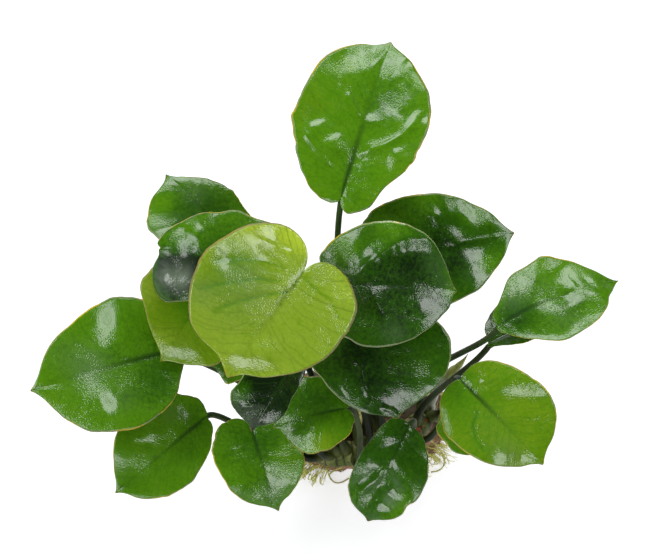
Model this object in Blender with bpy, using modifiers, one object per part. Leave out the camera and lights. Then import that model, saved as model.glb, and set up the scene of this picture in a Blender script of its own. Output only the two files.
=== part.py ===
"""Anubias nana grown onto a stone: a small water plant with a thick creeping rhizome, heart-shaped
leathery leaves on long stalks, and roots that hold it to a rough natural stone with a flat underside.

Lengths are metres, +Z is up and the plant's front faces -Y. The origin is on the stone's flat
underside, below its middle. The leaves' places are hand-read points of one reference picture,
668 x 555 pixels, and each is brought into space by its real height above the ground.
"""

import math
from collections import namedtuple

import bmesh
import bpy
from mathutils import Quaternion, Vector, noise

# Driving dimensions
STONE_LENGTH = 0.068
STONE_DEPTH = 0.044
STONE_CROWN = 0.027
STONE_MIDDLE = Vector((0.003, 0.003, 0.008))
STONE_LUMPS = 0.13
STONE_RIDGES = 0.10
RHIZOME_RADIUS = 0.0046
RHIZOME_RING = 0.0004
BLADE_THICKNESS = 0.0011
STALK_RADIUS = 0.0011
STALK_FOOT_RADIUS = 0.0015
ROOT_RADIUS = 0.0006
ROOT_START = 0.245  # how far from the rhizome's middle line a root starts, in stone radii
ROOT_TAPER = 0.35  # the share of its thickness that a root loses on its way down
SHEATH_RADIUS = 0.0014
SHEATH_SWELL = 0.0006
SHEATH_TIP_RADIUS = 0.0005
MOSS_DEPTH = 0.0016  # how thick a moss tuft is at its rim
MOSS_ROUGHNESS = 0.25  # the share of a tuft's thickness that its lumps add or take
MOSS_LUMPS = 2.5  # how many of those lumps there are across half a tuft
GAP = 0.0003

# The stone's patterns: how many lumps or ridges go round it, and where in the noise they are read
BROAD_LUMPS = (1.9, Vector((3.1, 0.4, 7.7)))
SMALL_LUMPS = (5.2, Vector((0.3, 5.9, 2.2)))
RIDGE_LINES = (3.1, Vector((6.4, 1.8, 4.6)))
SMALL_SHARE = 0.4
RIDGE_HEIGHT = 0.3

# The reference picture's view: where the eye is, and how pixels spread from the line of sight
EYE_DISTANCE = 0.568
EYE_ELEVATION = math.radians(55)
EYE_AIM = Vector((-0.009, 0.016, 0.085))
PICTURE_MIDDLE = (334, 277.5)
PIXELS_PER_SLOPE = 1577

# How finely the solids are divided
BLADE_ROWS = 10
BLADE_COLUMNS = 6
STALK_POINTS = 8
RHIZOME_POINTS = 22
ROOT_POINTS = 14

# How the plant grows
LEVEL_FACING = 0.35  # how much the blades face up rather than the eye
STALK_RISE = 0.35  # how far a stalk goes straight out of the rhizome, as a share of its span
STALK_ARRIVAL = 0.22  # how far it runs under the blade, as a share of its span
STALK_SLANT = (0.6, 0.8)  # its direction there: how much along the blade, and how much up to it
STALK_SETTING = 0.6  # how far its middle line ends below the blade, in stalk radii
SHOOT_LEAN = 0.3  # how much the young sheath leans the way the rhizome grows
SHOOT_RISE = 0.8  # how far it keeps that direction, as a share of the way to its own foot
ROUNDED_END = 0.22  # the share of the rhizome's length that its rounded end takes up
BLUNT_END = 0.45  # how blunt that end is, where 1 is cut off square

MM = 0.001
UP = Vector((0, 0, 1))
LEFT, RIGHT = 0, 1

# A leaf. The pixels are its seat, where the stalk meets the blade, its tip, the widest point of its
# left and right margin as seen from seat to tip, and the backmost point of its two lobes. Heights are
# in millimetres. nose and shoulder say how full the margin is: 1 is straight, 2 is an ellipse.
# arch, cup, curl and twist bend the blade, fold raises both halves, and roll turns it on its midrib.
# root is where its stalk leaves the rhizome, from 0 to 1, and lean the angle there, forward of up.
Leaf = namedtuple(
    "Leaf",
    "name seat tip left right left_lobe right_lobe seat_height tip_height root lean"
    " roll nose shoulder arch fold cup curl twist ripple point",
    defaults=(0, (2.0, 2.0), 1.8, 0.06, 0.1, 0.0, 0.0, 0.0, 0.4, 2.5),
)

LEAVES = [
    Leaf("top", (341, 198), (391, 42), (294, 113), (428, 130), (326, 201), (349, 214),
         118, 134, 0.50, -24, roll=-6, nose=(2.0, 1.75), shoulder=1.6, arch=0.05, fold=0.16,
         ripple=0.7, point=1.6),
    Leaf("upper_left", (236, 243), (166, 175), (152, 234), (232, 192), (212, 262), (252, 226),
         90, 96, 0.23, -26, roll=10, nose=(1.9, 1.6), arch=0.05, fold=0.12),
    Leaf("folded_left", (262, 252), (159, 249), (172, 302), (205, 212), (276, 282), (276, 226),
         113, 109, 0.33, -24, nose=(2.5, 1.7), arch=0.08, fold=-0.34, curl=0.03, point=-3.0),
    Leaf("pale_left", (212, 280), (160, 361), (243, 336), (144, 279), (240, 285), (186, 252),
         91, 82, 0.155, 2, roll=-8, nose=(2.0, 1.3), arch=0.06, fold=0.08, point=1.5),
    Leaf("great_pale", (303, 272), (228, 377), (347, 331), (202, 256), (337, 267), (290, 228),
         123, 116, 0.385, 10, roll=-4, nose=(1.8, 2.15), shoulder=1.75, arch=0.05, fold=0.08, point=3.6),
    Leaf("far_left", (169, 352), (31.5, 392), (133, 429), (108, 299), (187, 361), (176, 326),
         79, 72, 0.05, 5, roll=8, nose=(1.75, 1.8), arch=0.06, fold=0.14, point=2.5),
    Leaf("lower_left", (207, 416), (115.5, 493), (186, 485), (131, 410), (209, 420), (200, 402),
         60, 50, 0.01, 50, roll=-6, nose=(1.9, 1.8), arch=0.06, fold=0.1, point=1.8),
    Leaf("front_left", (251, 427), (279, 511), (304, 448), (213, 457), (277, 421), (229, 420),
         62, 44, 0.16, 52, roll=6, nose=(1.7, 2.1), arch=0.08, fold=0.1, point=2.0),
    Leaf("dark_left", (288, 370), (252, 431), (287, 402), (235, 390), (294, 377), (262, 352),
         88, 76, 0.245, 36, roll=-12, nose=(1.8, 2.1), arch=0.09, fold=0.14, point=2.0),
    Leaf("small_middle", (345, 408.5), (272, 427), (320, 453), (303, 376), (354, 419), (352, 398),
         73, 65, 0.44, 60, roll=4, nose=(1.9, 1.9), arch=0.08, fold=0.12),
    Leaf("dark_bowl", (357, 286), (457, 291), (385, 220), (374, 347), (322, 258), (330, 318),
         107, 105, 0.55, 10, roll=-4, nose=(1.9, 1.9), arch=0.10, fold=0.26, point=1.5),
    Leaf("upper_right", (388, 262), (514, 233), (405, 197), (440, 307), (357, 238), (374, 298),
         99, 98, 0.68, -22, roll=4, nose=(1.9, 1.9), arch=0.07, fold=0.14),
    Leaf("far_right", (497, 327), (618.5, 281), (538, 258), (570, 335), (494, 320), (498, 331),
         92, 92, 0.95, -22, roll=-24, nose=(1.5, 1.7), shoulder=1.3, arch=0.06, fold=0.22, point=2.0),
    Leaf("under_right", (488, 344), (588, 308), (520, 284), (530, 340), (485, 334), (488, 346),
         83, 80, 0.87, 2, roll=-32, shoulder=1.5, arch=0.06, fold=0.2),
    Leaf("lower_right", (461, 380), (543, 465), (541, 382), (452, 441), (469, 367), (448, 386),
         84, 74, 0.93, 40, roll=4, nose=(2.2, 1.8), arch=0.06, fold=0.1, point=1.8),
    Leaf("hidden_right", (461, 405), (497, 457), (500, 414), (437, 432), (470, 397), (449, 405),
         64, 54, 0.82, 60, roll=-6, arch=0.07, fold=0.1),
    Leaf("dark_middle", (366, 330), (397, 419), (449, 337), (309, 352), (398, 314), (338, 318),
         93, 78, 0.63, 22, roll=4, nose=(2.1, 2.0), arch=0.07, fold=0.1, point=1.5),
    Leaf("front_middle", (409.5, 424), (368, 521), (428, 480), (350, 478), (413, 428), (398, 417),
         67, 44, 0.60, 66, roll=8, nose=(2.3, 2.4), shoulder=2.0, arch=0.08, fold=0.14, point=1.4),
    Leaf("hidden_left", (262, 345), (205, 366), (230, 384), (230, 331), (270, 360), (266, 330),
         74, 70, 0.295, 10, roll=6, arch=0.07, fold=0.1),
]

PALE_LEAVES = {"great_pale", "pale_left"}
DARK_LEAVES = {"dark_bowl", "dark_middle", "dark_left", "upper_left", "upper_right", "front_middle"}

# The rhizome's route round the stone: three directions from the stone's middle, left end to right end
RHIZOME_ROUTE = (Vector((-0.72, -0.62, 0.31)), Vector((-0.10, -1.10, 0.50)), Vector((0.79, -0.25, 0.56)))

# A root on the stone: where it leaves the rhizome from 0 to 1, which side it leaves (-1 is downhill,
# 1 is uphill), and the azimuth and elevation in degrees, from the stone's middle, where it ends.
Root = namedtuple("Root", "start side azimuth elevation sway")

ROOTS = [
    Root(0.06, -1, -164, -11, 0.06),
    Root(0.38, -1, -100, -15, -0.05),
    Root(0.60, -1, -80, -15, 0.08),
    Root(0.84, -1, -56, -13, -0.06),
    Root(0.22, 1, 150, -8, 0.16),
    Root(0.50, 1, 98, -12, -0.06),
    Root(0.74, 1, 40, -11, 0.12),
]

# A loose root: hand-read pixels, each with its height in millimetres
LOOSE_ROOTS = [
    ((342, 467, 11), (335, 470, 7.5), (329, 475, 3.5), (334, 482, 1.2), (342, 482, 0.9), (349, 478, 0.9)),
    ((430, 440, 20), (437, 446, 16), (443, 455, 9), (444, 464, 3.5), (439, 470, 0.9), (431, 472, 0.9)),
]

# A moss tuft at the stone's foot: azimuth and elevation of its middle in degrees, its half width and
# half height in degrees as seen from the stone's middle, and how far it stands off the stone
Tuft = namedtuple("Tuft", "name azimuth elevation half_width half_height thickness")

TUFTS = [
    Tuft("moss_front_left", -135, -11, 12.5, 9, 0.006),
    Tuft("moss_right", -28, -6, 17, 11, 0.005),
]

# The young sheath: hand-read pixels of its foot and tip, with heights in millimetres
SHOOT_ROOT = 0.985
SHOOT_PIXELS = ((452, 378, 52), (468, 354, 72))


def clear_scene():
    for thing in list(bpy.data.objects):
        bpy.data.objects.remove(thing)


def material(name, color, roughness):
    """A Principled material with a linear colour and a roughness; nothing on the plant is metal."""
    made = bpy.data.materials.new(name)
    made.use_nodes = True
    made.diffuse_color = (*color, 1)
    surface = made.node_tree.nodes["Principled BSDF"]
    surface.inputs["Base Color"].default_value = (*color, 1)
    surface.inputs["Roughness"].default_value = roughness
    surface.inputs["Metallic"].default_value = 0
    return made


def add_object(name, data, surface):
    made = bpy.data.objects.new(name, data)
    data.materials.append(surface)
    PLANT.objects.link(made)
    return made


def sight_direction(pixel):
    """The direction in which the eye sees a pixel."""
    forward = Vector((0, math.cos(EYE_ELEVATION), -math.sin(EYE_ELEVATION)))
    above = Vector((0, math.sin(EYE_ELEVATION), math.cos(EYE_ELEVATION)))
    right_slope = (pixel[0] - PICTURE_MIDDLE[0]) / PIXELS_PER_SLOPE
    up_slope = (PICTURE_MIDDLE[1] - pixel[1]) / PIXELS_PER_SLOPE
    return forward + Vector((1, 0, 0)) * right_slope + above * up_slope


def eye_point():
    away = Vector((0, -math.cos(EYE_ELEVATION), math.sin(EYE_ELEVATION)))
    return EYE_AIM + away * EYE_DISTANCE


def on_plane(pixel, point, normal):
    """Where the line of sight through a pixel meets a plane."""
    eye = eye_point()
    direction = sight_direction(pixel)
    return eye + direction * ((point - eye).dot(normal) / direction.dot(normal))


def at_height(pixel, height):
    """Where the line of sight through a pixel comes down to a height, in millimetres."""
    return on_plane(pixel, UP * height * MM, UP)


class Blade:
    """A leaf blade as a surface: turn goes round the margin from 0 at the tip to 1 in the notch at
    the seat, and out goes from -1 on the right margin over 0 on the midrib to 1 on the left margin.
    """

    WIDEST = 0.4  # the turn at the widest point, and at the backmost point of the lobe
    LOBE = 0.8
    CREASE = 0.12  # the half width of the rounded crease at the midrib, in half blade widths
    POINTED = 0.16  # how wide the drawn-out tip is, in radians round the nose
    CROWDING = 2.8  # how much closer the side veins leave the midrib near the seat
    SWEEP = (0.05, 0.18)  # how far they sweep forward near the seat, and how much more at the tip
    RIPPLES = (17, 2, 900)  # the wave round the margin, across the blade, and its shift with length

    def __init__(self, leaf):
        self.leaf = leaf
        self.seat = at_height(leaf.seat, leaf.seat_height)
        tip = at_height(leaf.tip, leaf.tip_height)
        self.length = (tip - self.seat).length
        self.along = (tip - self.seat).normalized()
        facing = (eye_point() - self.seat).normalized() + UP * LEVEL_FACING
        upper = (facing - self.along * facing.dot(self.along)).normalized()
        self.upper = Quaternion(self.along, math.radians(leaf.roll)) @ upper
        self.across = self.upper.cross(self.along)
        self.width = 0.4 * self.length
        self.widest = [self.measure(leaf.left), self.measure(leaf.right)]
        self.lobes = [self.measure(leaf.left_lobe), self.measure(leaf.right_lobe)]

    def measure(self, pixel):
        """How far along and across the blade a pixel of its margin is."""
        along = across = height = 0
        for _ in range(4):
            offset = on_plane(pixel, self.seat + self.upper * height, self.upper) - self.seat
            along = offset.dot(self.along)
            across = offset.dot(self.across)
            height = self.lift(along, across)
        return Vector((along, across))

    def lift(self, along, across):
        """How far a point of the blade stands out of the plane through its seat and tip."""
        leaf = self.leaf
        x = along / self.length
        y = across / self.width
        lift = leaf.arch * 4 * x * (1 - x) * self.length
        lift += leaf.fold * self.width * (math.hypot(y, self.CREASE) - self.CREASE)
        lift += leaf.cup * self.width * y * y
        lift += leaf.twist * self.width * x * y
        lift -= leaf.curl * self.length * max(0, (x - 0.6) / 0.4) ** 2
        return lift

    def margin(self, side, turn):
        """A point of the margin, along and across."""
        leaf = self.leaf
        widest = self.widest[side]
        lobe = self.lobes[side]
        point = leaf.point * MM
        if turn < self.WIDEST:
            angle = turn / self.WIDEST * math.pi / 2
            power = 2 / leaf.nose[side]
            reach = self.length - point - widest.x
            along = widest.x + reach * math.cos(angle) ** power
            along += point * math.exp(-((angle / self.POINTED) ** 2))
            return Vector((along, widest.y * math.sin(angle) ** power))
        if turn < self.LOBE:
            angle = (turn - self.WIDEST) / (self.LOBE - self.WIDEST) * math.pi / 2
            power = 2 / leaf.shoulder
            along = lobe.x + (widest.x - lobe.x) * (1 - math.sin(angle) ** power)
            return Vector((along, lobe.y + (widest.y - lobe.y) * math.cos(angle) ** power))
        angle = (turn - self.LOBE) / (1 - self.LOBE) * math.pi / 2
        return Vector((lobe.x * math.cos(angle), lobe.y * (1 - math.sin(angle))))

    def point(self, turn, out):
        """A point of the blade in space, on the side vein that runs from the midrib to the margin."""
        edge = self.margin(LEFT if out > 0 else RIGHT, turn)
        start = Vector((self.length * (1 - turn) ** self.CROWDING, 0))
        sweep = self.SWEEP[0] + self.SWEEP[1] * (1 - turn)
        bend = (start + edge) / 2 + Vector((sweep * abs(edge.y), 0))
        part = abs(out)
        flat = start * (1 - part) ** 2 + bend * 2 * part * (1 - part) + edge * part**2
        round_margin, across_blade, shift = self.RIPPLES
        wave = math.sin(turn * round_margin + out * across_blade + self.length * shift)
        wave *= self.leaf.ripple * MM * part**3 * math.sin(math.pi * turn)
        height = self.lift(flat.x, flat.y) + wave
        return self.seat + self.along * flat.x + self.across * flat.y + self.upper * height


def blade_mesh(blade, name):
    """A grid bent onto the blade: its first row shrinks to the tip and its last to the seat."""
    shape = bmesh.new()
    bmesh.ops.create_grid(shape, x_segments=BLADE_ROWS, y_segments=BLADE_COLUMNS, size=1)
    for vertex in shape.verts:
        turn = (vertex.co.x + 1) / 2
        vertex.co = blade.point(turn, vertex.co.y)
    bmesh.ops.remove_doubles(shape, verts=shape.verts, dist=0.00002)
    bmesh.ops.recalc_face_normals(shape, faces=shape.faces)
    mesh = bpy.data.meshes.new(name)
    shape.to_mesh(mesh)
    shape.free()
    mesh.shade_smooth()
    return mesh


def add_leaf(blade, surface):
    name = "leaf_" + blade.leaf.name
    made = add_object(name, blade_mesh(blade, name), surface)
    shell = made.modifiers.new("thickness", "SOLIDIFY")
    shell.thickness = BLADE_THICKNESS
    shell.offset = 0
    return made


def tube(name, points, radii, sides_resolution, surface):
    """A curve object along points, with filled caps, whose thickness follows the radii."""
    curve = bpy.data.curves.new(name, "CURVE")
    curve.dimensions = "3D"
    curve.bevel_depth = max(radii)
    curve.bevel_resolution = sides_resolution
    curve.use_fill_caps = True
    spline = curve.splines.new("POLY")
    spline.points.add(len(points) - 1)
    for spot, place, radius in zip(spline.points, points, radii):
        spot.co = (*place, 1)
        spot.radius = radius / max(radii)
    return add_object(name, curve, surface)


def bezier(ends, part):
    """A point of the cubic curve with these four control points."""
    back = 1 - part
    weights = (back**3, 3 * back**2 * part, 3 * back * part**2, part**3)
    return sum((end * weight for end, weight in zip(ends, weights)), Vector((0, 0, 0)))


def stone_radius(direction):
    """How far the stone's surface is from its middle in a direction: a lumpy oval with sharp hollows."""
    halves = (STONE_LENGTH / 2, STONE_DEPTH / 2, STONE_CROWN - STONE_MIDDLE.z)
    oval = 1 / math.sqrt(sum((part / half) ** 2 for part, half in zip(direction, halves)))
    patterns = (BROAD_LUMPS, SMALL_LUMPS, RIDGE_LINES)
    broad, small, line = (noise.noise(direction * count + place) for count, place in patterns)
    lumps = broad + SMALL_SHARE * small
    return oval * (1 + STONE_LUMPS * lumps + STONE_RIDGES * (RIDGE_HEIGHT - abs(line)))


def on_stone(direction, lift=0):
    direction = direction.normalized()
    return STONE_MIDDLE + direction * (stone_radius(direction) + lift)


def compass(azimuth, elevation):
    """A direction from an azimuth, counted from +X towards +Y, and an elevation, in degrees."""
    flat = math.cos(math.radians(elevation))
    across = flat * math.cos(math.radians(azimuth))
    deep = flat * math.sin(math.radians(azimuth))
    return Vector((across, deep, math.sin(math.radians(elevation))))


def add_stone(surface):
    shape = bmesh.new()
    bmesh.ops.create_icosphere(shape, subdivisions=4, radius=1)
    for vertex in shape.verts:
        vertex.co = on_stone(vertex.co)
    whole = shape.verts[:] + shape.edges[:] + shape.faces[:]
    bmesh.ops.bisect_plane(shape, geom=whole, plane_co=(0, 0, 0), plane_no=(0, 0, -1), clear_outer=True)
    rim = [edge for edge in shape.edges if edge.is_boundary]
    bmesh.ops.edgeloop_fill(shape, edges=rim)
    bmesh.ops.recalc_face_normals(shape, faces=shape.faces)
    mesh = bpy.data.meshes.new("stone")
    shape.to_mesh(mesh)
    shape.free()
    mesh.shade_smooth()
    return add_object("stone", mesh, surface)


def rhizome_direction(part):
    first, middle, last = RHIZOME_ROUTE
    back = 1 - part
    return (first * back**2 + middle * 2 * back * part + last * part**2).normalized()


def rhizome_point(part):
    """The rhizome's middle line lies on the stone, just clear of it."""
    return on_stone(rhizome_direction(part), RHIZOME_RADIUS + RHIZOME_RING + 3 * GAP)


def rhizome_frame(part):
    """The rhizome's direction of growth at a place, and the two directions up and forward from it."""
    step = 0.01
    growth = (rhizome_point(part + step) - rhizome_point(part - step)).normalized()
    rise = (UP - growth * growth.z).normalized()
    return growth, rise, growth.cross(rise)


def add_rhizome(surface):
    parts = [index / (RHIZOME_POINTS - 1) for index in range(RHIZOME_POINTS)]
    radii = []
    for index, part in enumerate(parts):
        from_end = min(part, 1 - part) / ROUNDED_END
        ring = RHIZOME_RING if index % 2 else -RHIZOME_RING
        radii.append((RHIZOME_RADIUS + ring) * math.sqrt(min(1, BLUNT_END + from_end)))
    return tube("rhizome", [rhizome_point(part) for part in parts], radii, 3, surface)


def stalk_ends(blade):
    """The stalk's four control points: up out of the rhizome, and from below and behind to the seat."""
    leaf = blade.leaf
    _, rise, front = rhizome_frame(leaf.root)
    lean = math.radians(leaf.lean)
    outward = rise * math.cos(lean) + front * math.sin(lean)
    clear = RHIZOME_RADIUS + RHIZOME_RING + 2 * GAP
    foot = rhizome_point(leaf.root) + outward * clear
    onward, upward = STALK_SLANT
    arrival = (blade.along * onward + blade.upper * upward).normalized()
    top = blade.seat - blade.upper * (BLADE_THICKNESS / 2 + STALK_RADIUS * STALK_SETTING + 2 * GAP)
    reach = (top - foot).length
    return foot, foot + outward * reach * STALK_RISE, top - arrival * reach * STALK_ARRIVAL, top


def add_stalk(blade, surface):
    ends = stalk_ends(blade)
    parts = [index / (STALK_POINTS - 1) for index in range(STALK_POINTS)]
    points = [bezier(ends, part) for part in parts]
    radii = [STALK_RADIUS + (STALK_FOOT_RADIUS - STALK_RADIUS) * (1 - part) ** 3 for part in parts]
    return tube("stalk_" + blade.leaf.name, points, radii, 1, surface)


def add_shoot(surface):
    growth, rise, _ = rhizome_frame(SHOOT_ROOT)
    outward = (rise + growth * SHOOT_LEAN).normalized()
    foot = rhizome_point(SHOOT_ROOT) + outward * (RHIZOME_RADIUS + RHIZOME_RING + 2 * GAP)
    lower, upper = (at_height(pixel[:2], pixel[2]) for pixel in SHOOT_PIXELS)
    ends = (foot, foot + outward * (lower - foot).length * SHOOT_RISE, lower, upper)
    parts = [index / (STALK_POINTS - 1) for index in range(STALK_POINTS)]
    taper = SHEATH_RADIUS - SHEATH_TIP_RADIUS
    radii = [SHEATH_RADIUS + SHEATH_SWELL * math.sin(math.pi * part) - taper * part**4 for part in parts]
    return tube("shoot", [bezier(ends, part) for part in parts], radii, 2, surface)


def add_root(index, root, surface):
    """A root that leaves the rhizome's side and follows the stone down to the ground."""
    start = rhizome_direction(root.start)
    uphill = start.cross(rhizome_frame(root.start)[0]).normalized()
    first = (start + uphill * root.side * ROOT_START).normalized()
    last = compass(root.azimuth, root.elevation)
    points = []
    for step in range(ROOT_POINTS):
        part = step / (ROOT_POINTS - 1)
        direction = first.lerp(last, part)
        sideways = first.cross(last).normalized() * root.sway * math.sin(2 * math.pi * part)
        points.append(on_stone(direction + sideways, ROOT_RADIUS + 4 * GAP))
    radii = [ROOT_RADIUS * (1 - ROOT_TAPER * step / (ROOT_POINTS - 1)) for step in range(ROOT_POINTS)]
    return tube(f"root_{index}", points, radii, 1, surface)


def add_loose_root(index, pixels, surface):
    spots = [at_height(pixel[:2], pixel[2]) for pixel in pixels]
    radii = [ROOT_RADIUS * (1 - ROOT_TAPER * step / (len(spots) - 1)) for step in range(len(spots))]
    return tube(f"loose_root_{index}", spots, radii, 1, surface)


def add_tuft(tuft, surface):
    """A cushion of moss against the stone's foot: flat at the back, where it follows the stone."""
    shape = bmesh.new()
    bmesh.ops.create_icosphere(shape, subdivisions=2, radius=1)
    for vertex in shape.verts:
        wide, high, deep = vertex.co
        direction = compass(tuft.azimuth + wide * tuft.half_width, tuft.elevation + high * tuft.half_height)
        lift = MOSS_DEPTH + tuft.thickness * max(0, deep) ** 0.7
        if deep < 0:
            lift = MOSS_DEPTH * (1 + deep) + 2 * GAP
        rough = 1 + MOSS_ROUGHNESS * noise.noise(vertex.co * MOSS_LUMPS)
        place = on_stone(direction, lift * rough)
        vertex.co = Vector((place.x, place.y, max(place.z, GAP)))
    bmesh.ops.recalc_face_normals(shape, faces=shape.faces)
    mesh = bpy.data.meshes.new(tuft.name)
    shape.to_mesh(mesh)
    shape.free()
    mesh.shade_smooth()
    return add_object(tuft.name, mesh, surface)


clear_scene()
PLANT = bpy.data.collections.new("anubias_nana_on_stone")
bpy.context.scene.collection.children.link(PLANT)

leaf_green = material("leaf_green", (0.055, 0.16, 0.016), 0.32)
leaf_dark = material("leaf_dark", (0.03, 0.095, 0.02), 0.3)
leaf_pale = material("leaf_pale", (0.27, 0.4, 0.045), 0.32)
stalk_green = material("stalk_green", (0.05, 0.12, 0.02), 0.4)
rhizome_green = material("rhizome_green", (0.13, 0.15, 0.04), 0.55)
sheath_pale = material("sheath_pale", (0.45, 0.5, 0.16), 0.5)
root_brown = material("root_brown", (0.22, 0.17, 0.08), 0.6)
stone_brown = material("stone_brown", (0.23, 0.17, 0.14), 0.85)
moss_green = material("moss_green", (0.18, 0.2, 0.03), 0.9)

add_stone(stone_brown)
add_rhizome(rhizome_green)
for each in LEAVES:
    grown = Blade(each)
    shade = leaf_dark if each.name in DARK_LEAVES else leaf_green
    add_leaf(grown, leaf_pale if each.name in PALE_LEAVES else shade)
    add_stalk(grown, stalk_green)
add_shoot(sheath_pale)
for number, each in enumerate(ROOTS, 1):
    add_root(number, each, root_brown)
for number, each in enumerate(LOOSE_ROOTS, 1):
    add_loose_root(number, each, root_brown)
for each in TUFTS:
    add_tuft(each, moss_green)
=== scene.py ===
import math
import random
from collections import namedtuple

import bmesh
import bpy
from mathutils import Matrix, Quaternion, Vector, noise


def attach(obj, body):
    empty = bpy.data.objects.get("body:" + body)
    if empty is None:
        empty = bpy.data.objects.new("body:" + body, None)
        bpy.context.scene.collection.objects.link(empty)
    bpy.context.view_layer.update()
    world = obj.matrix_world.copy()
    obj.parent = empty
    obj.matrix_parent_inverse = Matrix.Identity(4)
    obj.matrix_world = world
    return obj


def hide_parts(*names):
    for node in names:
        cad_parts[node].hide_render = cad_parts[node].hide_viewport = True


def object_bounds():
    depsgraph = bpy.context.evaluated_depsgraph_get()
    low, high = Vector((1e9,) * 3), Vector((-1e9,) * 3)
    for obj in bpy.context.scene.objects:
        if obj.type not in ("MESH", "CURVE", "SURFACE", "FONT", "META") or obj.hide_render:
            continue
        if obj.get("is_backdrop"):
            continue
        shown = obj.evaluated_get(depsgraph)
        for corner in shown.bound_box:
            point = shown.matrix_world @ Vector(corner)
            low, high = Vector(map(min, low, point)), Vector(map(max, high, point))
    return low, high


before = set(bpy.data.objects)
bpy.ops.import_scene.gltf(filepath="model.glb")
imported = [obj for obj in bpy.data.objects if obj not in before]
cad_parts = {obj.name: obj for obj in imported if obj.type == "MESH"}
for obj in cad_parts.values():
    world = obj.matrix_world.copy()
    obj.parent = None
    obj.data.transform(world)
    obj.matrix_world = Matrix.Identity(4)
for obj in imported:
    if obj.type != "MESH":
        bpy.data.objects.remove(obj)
cad_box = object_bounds()

# The view
# An 85 mm lens, a little over half a metre away, looks down on the plant at 55 degrees. The leaves
# below are placed by points read in that picture, so the same view comes first.
MM = 0.001
UP = Vector((0, 0, 1))
EYE_DISTANCE = 0.568
EYE_ELEVATION = math.radians(55)
EYE_AIM = Vector((-0.009, 0.016, 0.085))
PICTURE_WIDTH = 668
PICTURE_MIDDLE = (334, 277.5)
LENS = 85
SENSOR = 36
PIXELS_PER_SLOPE = PICTURE_WIDTH * LENS / SENSOR

EYE_FORWARD = Vector((0, math.cos(EYE_ELEVATION), -math.sin(EYE_ELEVATION)))
EYE_UPWARD = Vector((0, math.sin(EYE_ELEVATION), math.cos(EYE_ELEVATION)))
EYE_POINT = EYE_AIM - EYE_FORWARD * EYE_DISTANCE


def sight_direction(pixel):
    """The direction in which the eye sees a pixel."""
    right_slope = (pixel[0] - PICTURE_MIDDLE[0]) / PIXELS_PER_SLOPE
    up_slope = (PICTURE_MIDDLE[1] - pixel[1]) / PIXELS_PER_SLOPE
    return EYE_FORWARD + Vector((1, 0, 0)) * right_slope + EYE_UPWARD * up_slope


def pixel_of(place):
    """The pixel at which the eye sees a place."""
    offset = place - EYE_POINT
    scale = PIXELS_PER_SLOPE / offset.dot(EYE_FORWARD)
    aside, above = offset.x * scale, offset.dot(EYE_UPWARD) * scale
    return Vector((PICTURE_MIDDLE[0] + aside, PICTURE_MIDDLE[1] - above))


def on_plane(pixel, point, normal):
    """Where the line of sight through a pixel meets a plane."""
    direction = sight_direction(pixel)
    return EYE_POINT + direction * ((point - EYE_POINT).dot(normal) / direction.dot(normal))


def at_height(pixel, height):
    """Where the line of sight through a pixel comes down to a height, in millimetres."""
    return on_plane(pixel, UP * height * MM, UP)


camera_data = bpy.data.cameras.new("camera")
camera_data.lens = LENS
camera_data.sensor_width = SENSOR
camera = bpy.data.objects.new("camera", camera_data)
camera.location = EYE_POINT
camera.rotation_euler = (math.pi / 2 - EYE_ELEVATION, 0, 0)
bpy.context.scene.collection.objects.link(camera)
bpy.context.scene.camera = camera

# The stone
# A piece of natural porous rock, pinkish brown to grey and pitted. Painted shade darkens its pits, and its
# top under the rhizome and the leaves. It stands on its flat underside, and everything else is rooted to
# it.
STONE_LENGTH = 0.068
STONE_DEPTH = 0.044
STONE_CROWN = 0.027
STONE_MIDDLE = Vector((0.003, 0.003, 0.008))
STONE_LUMPS = 0.13  # how high its lumps and its ridges are, as shares of its size
STONE_RIDGES = 0.10
PIT_SIZE = 2.6 * MM
PIT_DEPTH = 1.3 * MM
GRIT_SIZE = 0.9 * MM
GRIT_HEIGHT = 0.16 * MM
UNEVEN_SIZE = 4 * MM  # the soft unevenness between the pits
UNEVEN_HEIGHT = 0.35 * MM

# The stone's patterns: how many lumps or ridges go round it, and where in the noise they are read
BROAD_LUMPS = (1.9, Vector((3.1, 0.4, 7.7)))
SMALL_LUMPS = (5.2, Vector((0.3, 5.9, 2.2)))
RIDGE_LINES = (3.1, Vector((6.4, 1.8, 4.6)))
SMALL_SHARE = 0.4
RIDGE_HEIGHT = 0.3


def linear(code):
    """An sRGB hex colour as linear RGBA."""
    parts = [int(code[place : place + 2], 16) / 255 for place in (1, 3, 5)]
    return (*[((part + 0.055) / 1.055) ** 2.4 if part > 0.04045 else part / 12.92 for part in parts], 1)


def start_material(name):
    """A new material, its node tree and its Principled shader."""
    made = bpy.data.materials.new(name)
    made.use_nodes = True
    return made, made.node_tree, made.node_tree.nodes["Principled BSDF"]


def feed(tree, target, inputs):
    """Gives a node's sockets their values, or links them to the sockets that feed them."""
    for name, value in dict(inputs).items():
        if isinstance(value, bpy.types.NodeSocket):
            tree.links.new(value, target.inputs[name])
        else:
            target.inputs[name].default_value = value


def node(tree, kind, inputs=(), **settings):
    """Adds a node with its settings, and feeds its sockets."""
    made = tree.nodes.new(kind)
    for name, value in settings.items():
        setattr(made, name, value)
    feed(tree, made, inputs)
    return made


def shown(tree, *patterns):
    """How much all of these patterns show together.

    Each is given by its value, the two ends of the range in which it comes in, and what it counts for at
    those ends, 0 and 1 unless said.
    """
    share = None
    for value, *ends in patterns:
        inputs = dict(zip(("From Min", "From Max", "To Min", "To Max"), ends), Value=value)
        ranged = node(tree, "ShaderNodeMapRange", inputs, interpolation_type="SMOOTHSTEP").outputs[0]
        if share is None:
            share = ranged
        else:
            share = node(tree, "ShaderNodeMath", {0: share, 1: ranged}, operation="MULTIPLY").outputs[0]
    return share


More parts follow.
